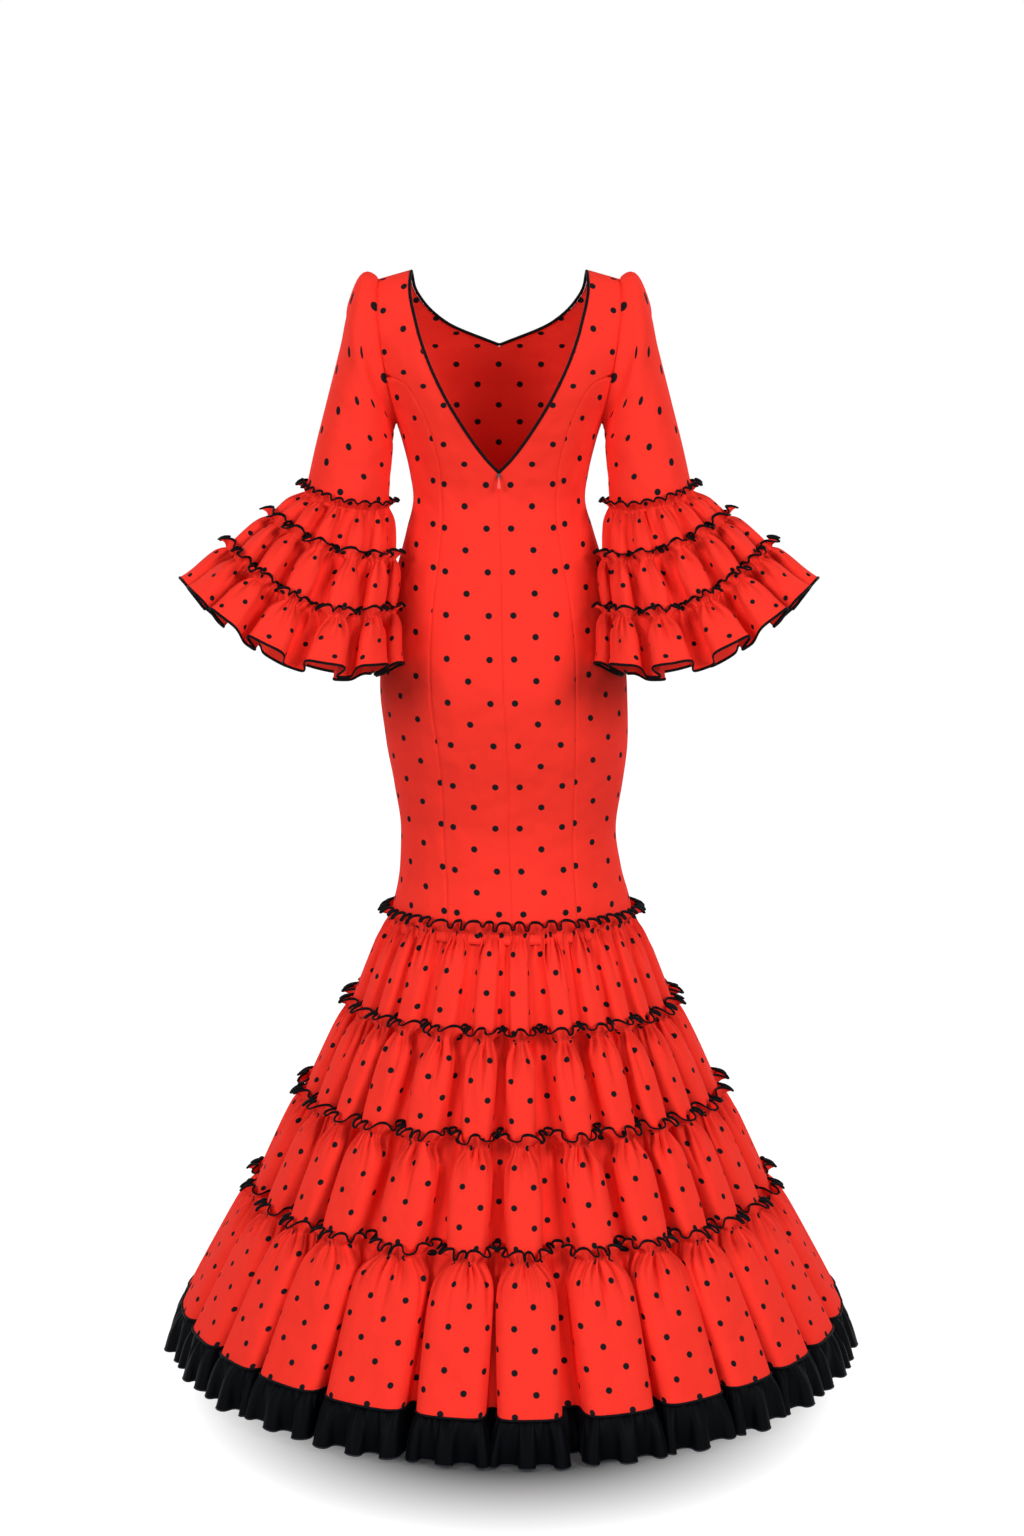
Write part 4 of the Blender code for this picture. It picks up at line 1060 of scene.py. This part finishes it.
class BuildHem(bpy.types.Operator):
    """Build the cord on the hem and the black frill below it"""
    bl_idname = "dress.build_hem"
    bl_label = "Hem frill"

    def execute(self, context):
        trim, ruffles = context.scene.dress_trim, context.scene.dress_ruffles
        places, phase, girth, _ = even_places(hem_ring, hem_ring, len(SKIRT_CRESTS),
                                              ruffles.frill_wave, FRILL_COLUMNS, 7)
        hem, lie = skirt_ring(SKIRT_COUNT, places)
        above, _ = skirt_ring(SKIRT_COUNT - 1, places)
        along = along_ring(hem)
        up = unit(above - hem)
        out = pointing(unit(np.cross(along, up)), hem - hem.mean(0))
        cord = tube("hem_cord", hem + out * CORD_PROUD, out, up, trim.cord, trim.cord,
                    finish("Black satin binding"))
        wear(cord, "black_binding")

        # The frill flares straight out from the skirt, and only a little with each flute.
        away = unit((hem - np.array([SKIRT_SHIFT, 0, 0])) * LEVEL)
        away = unit(away * 0.6 + unit(out * LEVEL) * 0.4)
        for _ in range(12):
            away = unit(np.roll(away, 1, 0) + 2 * away + np.roll(away, -1, 0))
        start = hem + up * FRILL_RAISE - out * FRILL_INSIDE
        waves = int(round(phase[-1] / (2 * pi)))
        uneven = slow_noise(len(places), (waves // 2, waves // 3, waves // 7), 9)
        share = np.linspace(0, 1, FRILL_ROWS)[:, None]
        sway = np.cos(phase) * FRILL_SWAY * (1 + 0.4 * uneven)
        slide = FRILL_SLIDE * np.sin(2 * phase)
        grow = share ** 0.75
        flare = FRILL_FLARE * share + FRILL_BELLY * np.sin(pi * share ** 0.6)
        creases = crease_field(len(places), girth, share[:, 0] * FRILL_DROP, FRILL_CREASES, 11)
        outwards = (flare + grow * sway[None] * (0.6 + 0.4 * lie.stand[None])) - creases
        drop = (FRILL_DROP + FRILL_RAISE) * share * (1 + 0.04 * uneven[None])
        points = (start[None] + away[None] * outwards[..., None]
                  + along[None] * (grow * slide[None])[..., None] - UP * drop[..., None])
        width = girth * FRILL_FULLNESS
        down = share[:, 0] * (FRILL_DROP + FRILL_TURN)
        across = np.arange(len(places) + 1) / len(places) * width
        piece = cloth_piece("frill", points, flat_grid(across, down), finish("Black crepe"),
                            np.repeat(out[None], FRILL_ROWS, 0), True)
        wear(piece, "black_crepe", "hem_frill")
        edge_binding("frill_rolled_edge", points[-1], points[-2], ROLLED_EDGE,
                     finish("Black rolled edge"), "black_crepe")
        return {"FINISHED"}


# ---------------- sleeves
SLEEVE_COLUMNS = 88
SLEEVE_ROWS = 70
SLEEVE_GIRTH = 0.36        # of the flat cloth
ARMHOLE_DIP = SEAM_DIP * 1.3
HEAD_REACH = 0.045         # how far the sleeve head is eased in, to each side of its top
HEAD_PUFF = 0.0045         # how proud it stands
HEAD_DROP = 0.05           # and how far down
TUCK_DEPTH = 0.0016        # depth, spacing and length of the tucks at the armhole
TUCK_STEP = 0.011
TUCK_LENGTH = 0.028
SLEEVE_FOLDS = (
    Fold(0.165, 0.012, 0.205, 0.095, 0.0050, 0.0060),
    Fold(0.180, 0.004, 0.215, 0.075, 0.0034, 0.0050),
    Fold(0.150, 0.030, 0.200, 0.120, 0.0030, 0.0080),
    Fold(0.225, 0.010, 0.215, 0.080, 0.0030, 0.0060),
    Fold(0.120, 0.150, 0.190, 0.172, 0.0015, 0.0100),
    Fold(0.255, 0.012, 0.232, 0.085, 0.0034, 0.0060),
    Fold(0.285, 0.020, 0.240, 0.100, 0.0028, 0.0080),
)


def armhole_line(angles):
    """Points round the left armhole at angles from the shoulder, down the back first."""
    heights = UNDERARM * np.linspace(0, 1, 400) ** 2
    turn = body_turn(heights, read(ARMHOLE, "distance", heights))
    lines, places = [], []
    for back in (True, False):
        line = body_points(back, heights, turn)
        line[0, 1] = 0.0
        top, low = line[0, 2], line[-1, 2]
        place = np.arccos(np.clip((line[:, 2] - (top + low) / 2) / ((top - low) / 2), -1, 1))
        lines.append(line)
        places.append(place)
    around = np.concatenate([places[0], 2 * pi - places[1][::-1]])
    points = np.concatenate([lines[0], lines[1][::-1]])
    order = np.argsort(around, kind="stable")
    found = [np.interp(angles, around[order], points[order, axis]) for axis in range(3)]
    return np.stack(found, -1) - np.array([ARMHOLE_LAP, 0, 0])


def sleeve_ring(row, angles, armhole):
    """A ring of a sleeve at angles from its outer side; near the armhole it follows that."""
    across, deep = np.cos(angles), np.sin(angles)
    x = (row.outer_x + row.inner_x) / 2 + (row.outer_x - row.inner_x) / 2 * across
    x = x + row.bow * deep ** 2
    z = (row.outer_z + row.inner_z) / 2 + (row.outer_z - row.inner_z) / 2 * across
    y = row.middle_y + row.half_y * deep
    return np.stack([x, armhole[:, 1] + (y - armhole[:, 1]) * row.own, z], -1)


def smooth_rows(rings, count):
    """Rows on a smooth surface through rings of points."""
    rings = np.array(rings)
    knots = np.concatenate([[0.0], np.cumsum(
        np.linalg.norm(np.diff(rings, axis=0), axis=-1).mean(1))])
    slopes = np.gradient(rings, knots, axis=0)
    places = np.linspace(0, knots[-1], count)
    step = np.clip(np.searchsorted(knots, places, side="right") - 1, 0, len(knots) - 2)
    span = (knots[step + 1] - knots[step])[:, None, None]
    part = (places - knots[step])[:, None, None] / span
    return smooth_between(rings, slopes, step, span, part), places


def clear_of_body(points, clearance):
    """Move points sideways until they are clear of the fitted part."""
    heights = points[..., 2]
    shift = read(BODY, "shift", heights)
    wide = read(BODY, "side", heights) + clearance
    deep = np.where(points[..., 1] > 0, read(BODY, "back", heights),
                    read(BODY, "front", heights)) + clearance
    reach = np.sqrt(((points[..., 0] - shift) / wide) ** 2 + (points[..., 1] / deep) ** 2)
    reach = np.clip(reach, 0.05, 1.0)
    return np.stack([shift + (points[..., 0] - shift) / reach, points[..., 1] / reach,
                     heights], -1)


FLOUNCE_SHAPES = ((0.0, 0.0), (0.04, 0.0), (0.04, 0.0), (0.18, 0.28))    # square and wide
FLOUNCE_WAVES = (0.80, 0.60, 0.60)         # wave of each flounce's heading over the scallop
SLEEVE_ABOVE = (-0.02, 0.0, 0.06)          # from the first gathers to a ring up the sleeve
FLOUNCE_CLEARANCE = 0.004
FLOUNCE_PLEATS = Creases(0.0080, 0.0016, 0.016, 0.26, 1.0)
FLOUNCE_CREASES = Creases(0.0170, 0.0110, 0.044, 0.19, 1.4)
FLOUNCE_FOLDS = Creases(0.045, 0.0040, 0.065, 0.16, 1.0)


def flounce_ring(level, places):
    """A sleeve flounce's ring at places counted in flutes, and how they lie.

    Level 0 is the seam at the end of the sleeve, and level -1 a ring above it.
    """
    if level < 0:
        ring, lie = flounce_ring(0, places)
        return ring + np.array(SLEEVE_ABOVE), lie
    row = FLOUNCE_RINGS[level]
    free = level == FLOUNCE_COUNT
    square, wide = FLOUNCE_SHAPES[level]
    lie = flutes_at(SLEEVE_CRESTS, places, square, wide, SLEEVE_STRIPS)
    across, down = np.cos(lie.angle), np.sin(lie.angle)
    middle = np.array([(row.outer_x + row.inner_x) / 2, row.middle_y,
                       (row.outer_z + row.inner_z) / 2])
    x = middle[0] + (row.outer_x - row.inner_x) / 2 * across
    y = middle[1] + row.half_y * down + row.skew * (1 - across) / 2
    z = middle[2] + (row.outer_z - row.inner_z) / 2 * across + row.rise * down
    z = z - row.sag * down ** 2
    ring = np.stack([x, y, z], -1)
    inwards = unit(middle - ring) * (row.depth * (1 - lie.stand))[:, None]
    # The cloth is as long in a valley as on a crest, so it hangs lower where it flares less.
    lift = UP * ((lie.stand - 0.5) * row.depth * (0.9 if free else 0.6))[:, None]
    radius = (row.outer_x - row.inner_x) / 2
    return (clear_of_body(ring + inwards + lift, SLEEVE_CLEARANCE),
            lie._replace(push=lie.push * radius, over=lie.over * radius))


class BuildSleeves(bpy.types.Operator):
    """Build the two sleeves with their gathered flounces"""
    bl_idname = "dress.build_sleeves"
    bl_label = "Sleeves"

    def execute(self, context):
        for (side, label), seed in zip(SIDES, (500, 600)):
            mirror = np.array([side, 1.0, 1.0])
            self.tube_of_sleeve(context, mirror, label)
            self.flounces(context, mirror, label, seed)
        return {"FINISHED"}

    def tube_of_sleeve(self, context, mirror, label):
        """The plain sleeve from the armhole to its turned end."""
        angles = np.arange(SLEEVE_COLUMNS) / SLEEVE_COLUMNS * 2 * pi
        armhole = armhole_line(angles)
        rings = [armhole] + [sleeve_ring(row, angles, armhole) for row in SLEEVE_RINGS]
        rings.append(rings[-1] + unit(rings[-1] - rings[-2]) * SLEEVE_TURN)
        points, run = smooth_rows(rings, SLEEVE_ROWS)
        outward = pointing(surface_normals(points, True),
                           points - points.mean(1, keepdims=True))
        across = angles / (2 * pi) * SLEEVE_GIRTH
        down = run[:, None]
        depth = fold_depth(across[None], down, SLEEVE_FOLDS)
        # The head is eased into the armhole with a few small tucks, and stands a little proud.
        off_top = np.minimum(across, SLEEVE_GIRTH - across)
        near_top = np.exp(-(off_top / HEAD_REACH) ** 2)[None]
        cap = near_top * HEAD_PUFF * np.sin(pi * np.clip(down / HEAD_DROP, 0, 1)) ** 0.7
        tucks = near_top * TUCK_DEPTH * np.cos(across[None] / TUCK_STEP * 2 * pi)
        tucks = tucks * np.clip(1 - down / TUCK_LENGTH, 0, 1) * np.clip(down / 0.004, 0, 1)
        seam = ARMHOLE_DIP * np.exp(-(down / SEAM_REACH) ** 2)
        points = points - outward * (depth - cap + tucks + seam)[..., None]
        around = np.arange(SLEEVE_COLUMNS + 1) / SLEEVE_COLUMNS * SLEEVE_GIRTH
        flat = flat_grid(around, run) + np.array([0.008, 0.004])
        piece = cloth_piece("sleeve_" + label + "_cloth", points * mirror, flat,
                            finish("Printed crepe, panels"), outward * mirror, True,
                            context.scene.dress_cloth.thickness)
        wear(piece, "red_dotted_crepe", "sleeve_" + label)

    def flounces(self, context, mirror, label, seed):
        """The flounces; the lowest one's hem is bound as well."""
        ruffles = context.scene.dress_ruffles
        for level, wave in enumerate(FLOUNCE_WAVES, 1):
            free = level == FLOUNCE_COUNT
            sizes = Gather(
                period=ruffles.sleeve_scallop * wave, rise=FLOUNCE_RISE,
                lean=ruffles.lean + 0.10, fall=ruffles.fall * 0.8, droop=0.7, puff=0.0100,
                valley_puff=-0.0080, spread=0.20, draw_in=0.06, neck=0.011,
                flare=0.006 if free else 0.0, pleats=FLOUNCE_PLEATS,
                creases=FLOUNCE_CREASES, folds=FLOUNCE_FOLDS)
            points, outward, down, foot = gathered_tier(
                flounce_ring, len(SLEEVE_CRESTS), level, free, sizes, FLOUNCE_COLUMNS,
                FLOUNCE_ROWS, seed + 20 * level)
            points = clear_of_body(points, FLOUNCE_CLEARANCE)
            name = "flounce_%d_%s" % (level, label)
            add_tier(name, (points, outward, down),
                     "sleeve_" + name, finish("Printed crepe, flounces"),
                     mirror)
            if free:
                edge_binding(name + "_hem_binding", points[-1] * mirror, points[-2] * mirror,
                             context.scene.dress_trim.binding, finish("Black satin binding"))


# ---------------- neck and zip
PIPING_STOP = 0.0012       # how far above the tip of the back neck the piping ends
PIPING_OFF = 0.0002        # from the edge of the neck to the piping
PIPING_SINK = 0.0006       # how far the piping's middle lies under the face of the cloth
PIPING_POINTS = 520
NEARBY = 0.0005            # how far apart points are taken to find the cloth's direction


class BuildTrim(bpy.types.Operator):
    """Build the piping round the neck and finish the zip"""
    bl_idname = "dress.build_trim"
    bl_label = "Piping and zip"

    def execute(self, context):
        width = context.scene.dress_trim.piping
        back = (NECK_TIP + PIPING_STOP) * np.linspace(1, 0.02, 120) ** 2
        front = FRONT_TIP * np.linspace(0.05, 1, 60) ** 2
        lines, normals = [], []
        for is_back, heights, table in ((True, back, BACK_NECK), (False, front, FRONT_NECK)):
            turns = body_turn(heights, read(table, "distance", heights))
            line = body_points(is_back, heights, turns)
            left = body_points(is_back, heights, turns + NEARBY)
            right = body_points(is_back, heights, turns - NEARBY)
            low = body_points(is_back, heights - NEARBY, turns)
            high = body_points(is_back, np.minimum(heights + NEARBY, 0), turns)
            out = unit(np.cross(left - right, low - high))
            out = np.where(np.sum(out * (line - np.array([0, 0, -0.15])), -1)[:, None] < 0,
                           -out, out)
            lines.append(line)
            normals.append(out)
        edge, out = np.concatenate(lines), np.concatenate(normals)
        flip = np.array([-1.0, 1.0, 1.0])
        edge = np.concatenate([edge, edge[-2::-1] * flip])
        out = np.concatenate([out, out[-2::-1] * flip])
        run = lengths_along(edge)
        even = np.linspace(0, run[-1], PIPING_POINTS)
        edge = np.stack([np.interp(even, run, edge[:, axis]) for axis in range(3)], -1)
        out = unit(np.stack([np.interp(even, run, out[:, axis]) for axis in range(3)], -1))
        along = unit(np.gradient(edge, axis=0))
        into = unit(np.cross(out, along))
        inside = np.stack([-edge[:, 0], 0 * edge[:, 0], np.abs(edge[:, 0]) / 3 + 0.002], -1)
        into = np.where(np.sum(into * inside, -1)[:, None] < 0, -into, into)
        path = edge + into * (width / 2 + PIPING_OFF) - out * PIPING_SINK
        for _ in range(6):
            path[1:-1] = (path[:-2] + path[2:] + 2 * path[1:-1]) / 4
        piece = tube("neck_binding", path, into, out, width, width * 0.85,
                     finish("Black satin binding"), sides=12, closed=False)
        wear(piece, "black_binding", "neck_piping")
        for name, metal in (("zip_slider", "Black lacquered zinc"),
                            ("zip_pull", "Red lacquered zinc")):
            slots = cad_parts[name].data.materials
            slots.clear()
            slots.append(finish(metal))
        return {"FINISHED"}


# ---------------- stage
CAMERA_PLACE = (-0.0175, 4.30, 0.0267)
CAMERA_PITCH = radians(9.34)
CAMERA_LENS = 73.83
FLOOR_DROP = 0.004         # so that the hem stays clear of the floor
FLOOR_SIZE = 30.0
# Painted shadow on the floor: the paper's own light is lowered in an oval round the skirt.
PAINTED_SHADOW_GLOW = 0.03          # light of the paper's own under the skirt; it is 1 further out
PAINTED_SHADOW_SHIFT = (0.022, -0.12, 0.0)          # the shaded place: an oval round the skirt
PAINTED_SHADOW_SCALE = (1.25, 1.0, 0.0)
PAINTED_SHADOW_EDGE = (0.35, 0.56)
# Name, place, which power it takes and how much of it, and width.
LIGHTS = (("key_left", (4.2, 4.2, 2.2), "key", 0.95, 2.4),
          ("key_right", (-4.2, 4.2, 2.2), "key", 1.05, 2.4),
          ("low_key", (0.0, 5.6, -0.9), "key", 0.25, 3.0),
          ("front_left", (4.2, -4.2, 2.2), "fill", 1.0, 2.4),
          ("front_right", (-4.2, -4.2, 2.2), "fill", 1.0, 2.4))
LIGHT_AIM = (0, 0, -0.75)


class BuildStage(bpy.types.Operator):
    """Build the floor, the lights and the camera"""
    bl_idname = "dress.build_stage"
    bl_label = "Stage"

    def execute(self, context):
        scene, settings = context.scene, context.scene.dress_stage
        self.floor(scene, settings)
        self.backdrop(scene, settings)
        for name, place, power, share, size in LIGHTS:
            lamp = bpy.data.lights.new(name, "AREA")
            lamp.energy = getattr(settings, power) * share
            lamp.size = size
            light = bpy.data.objects.new(name, lamp)
            light.location = place
            aim = Vector(LIGHT_AIM) - Vector(place)
            light.rotation_euler = aim.to_track_quat("-Z", "Y").to_euler()
            scene.collection.objects.link(light)
        # The white of the floor and the full red of the cloth are shown as they are.
        scene.view_settings.view_transform = "Standard"
        camera = bpy.data.objects.new("camera", bpy.data.cameras.new("camera"))
        camera.data.sensor_fit = "VERTICAL"
        camera.data.sensor_height = 36.0
        camera.data.lens = CAMERA_LENS
        camera.location = CAMERA_PLACE
        camera.rotation_euler = (pi / 2 - CAMERA_PITCH, 0, pi)
        scene.collection.objects.link(camera)
        scene.camera = camera
        return {"FINISHED"}

    def floor(self, scene, settings):
        """Studio paper, lit to white: light of its own stands for the flood lamps on it, and a
        shadow round the hem is painted into that light.
        """
        mesh = bmesh.new()
        bmesh.ops.create_grid(mesh, x_segments=1, y_segments=1, size=FLOOR_SIZE)
        bmesh.ops.translate(mesh, verts=mesh.verts, vec=(0, 0, FRAME_BOX[0][2] - FLOOR_DROP))
        data = mesh_data("floor", mesh)
        floor = bpy.data.objects.new("floor", data)
        scene.collection.objects.link(floor)
        paper, tree, shader = new_material("Studio paper", Roughness=0.9,
                                           Base_Color=linear(settings.floor),
                                           Specular_IOR_Level=0.0,
                                           Emission_Color=(1, 1, 1, 1))
        # Painted shadow: its own light fades beside and behind the hem, where the skirt would
        # shade the paper.
        place = node(tree, "ShaderNodeTexCoord").outputs["Object"]
        centred = node(tree, "ShaderNodeMapping",
                       {"Vector": place, "Location": PAINTED_SHADOW_SHIFT, "Scale": PAINTED_SHADOW_SCALE})
        away = node(tree, "ShaderNodeVectorMath", {0: centred.outputs[0]}, operation="LENGTH")
        inner, outer = PAINTED_SHADOW_EDGE
        glow_with_painted_shadow = node(tree, "ShaderNodeMapRange",
                    {"Value": away.outputs["Value"], "From Min": inner, "From Max": outer,
                     "To Min": PAINTED_SHADOW_GLOW})
        tree.links.new(glow_with_painted_shadow.outputs[0], shader.inputs["Emission Strength"])
        data.materials.append(paper)
        # The paper is out of the dress's own light, which would be too flat with it.
        floor.visible_diffuse = False

    def backdrop(self, scene, settings):
        """A white backdrop, brighter to the eye than the light that it gives."""
        world = bpy.data.worlds.new("Studio")
        world.use_nodes = True
        scene.world = world
        tree = world.node_tree
        sky = tree.nodes["Background"]
        sky.inputs["Color"].default_value = (1, 1, 1, 1)
        sky.inputs["Strength"].default_value = settings.sky
        seen = node(tree, "ShaderNodeBackground", {"Color": (1, 1, 1, 1)})
        ray = node(tree, "ShaderNodeLightPath")
        both = node(tree, "ShaderNodeMixShader", {0: ray.outputs["Is Camera Ray"],
                                                  1: sky.outputs[0], 2: seen.outputs[0]})
        tree.links.new(both.outputs[0], tree.nodes["World Output"].inputs["Surface"])


class DressPanel(bpy.types.Panel):
    """Lists the steps that build the dress"""
    bl_idname = "VIEW3D_PT_dress"
    bl_label = "Flamenco dress"
    bl_space_type = "VIEW_3D"
    bl_region_type = "UI"
    bl_category = "Dress"

    def draw(self, context):
        for group in GROUPS:
            settings = getattr(context.scene, group)
            box = self.layout.box()
            for name in settings.bl_rna.properties.keys():
                if name not in ("rna_type", "name"):
                    box.prop(settings, name)
        for step in STEPS:
            self.layout.operator(step.bl_idname)


GROUPS = {"dress_cloth": DressCloth, "dress_ruffles": DressRuffles, "dress_trim": DressTrim,
          "dress_stage": DressStage}
STEPS = (BuildStage, BuildFittedPart, BuildSleeves, BuildSkirt, BuildHem, BuildTrim)


def register():
    for group in (*GROUPS.values(), *STEPS, DressPanel):
        bpy.utils.register_class(group)
    for name, group in GROUPS.items():
        setattr(bpy.types.Scene, name, PointerProperty(type=group))


def unregister():
    for name in GROUPS:
        delattr(bpy.types.Scene, name)
    for group in reversed((*GROUPS.values(), *STEPS, DressPanel)):
        bpy.utils.unregister_class(group)


def main():
    register()
    for step in STEPS:
        group, name = step.bl_idname.split(".")
        getattr(getattr(bpy.ops, group), name)()


if __name__ == "__main__":
    main()
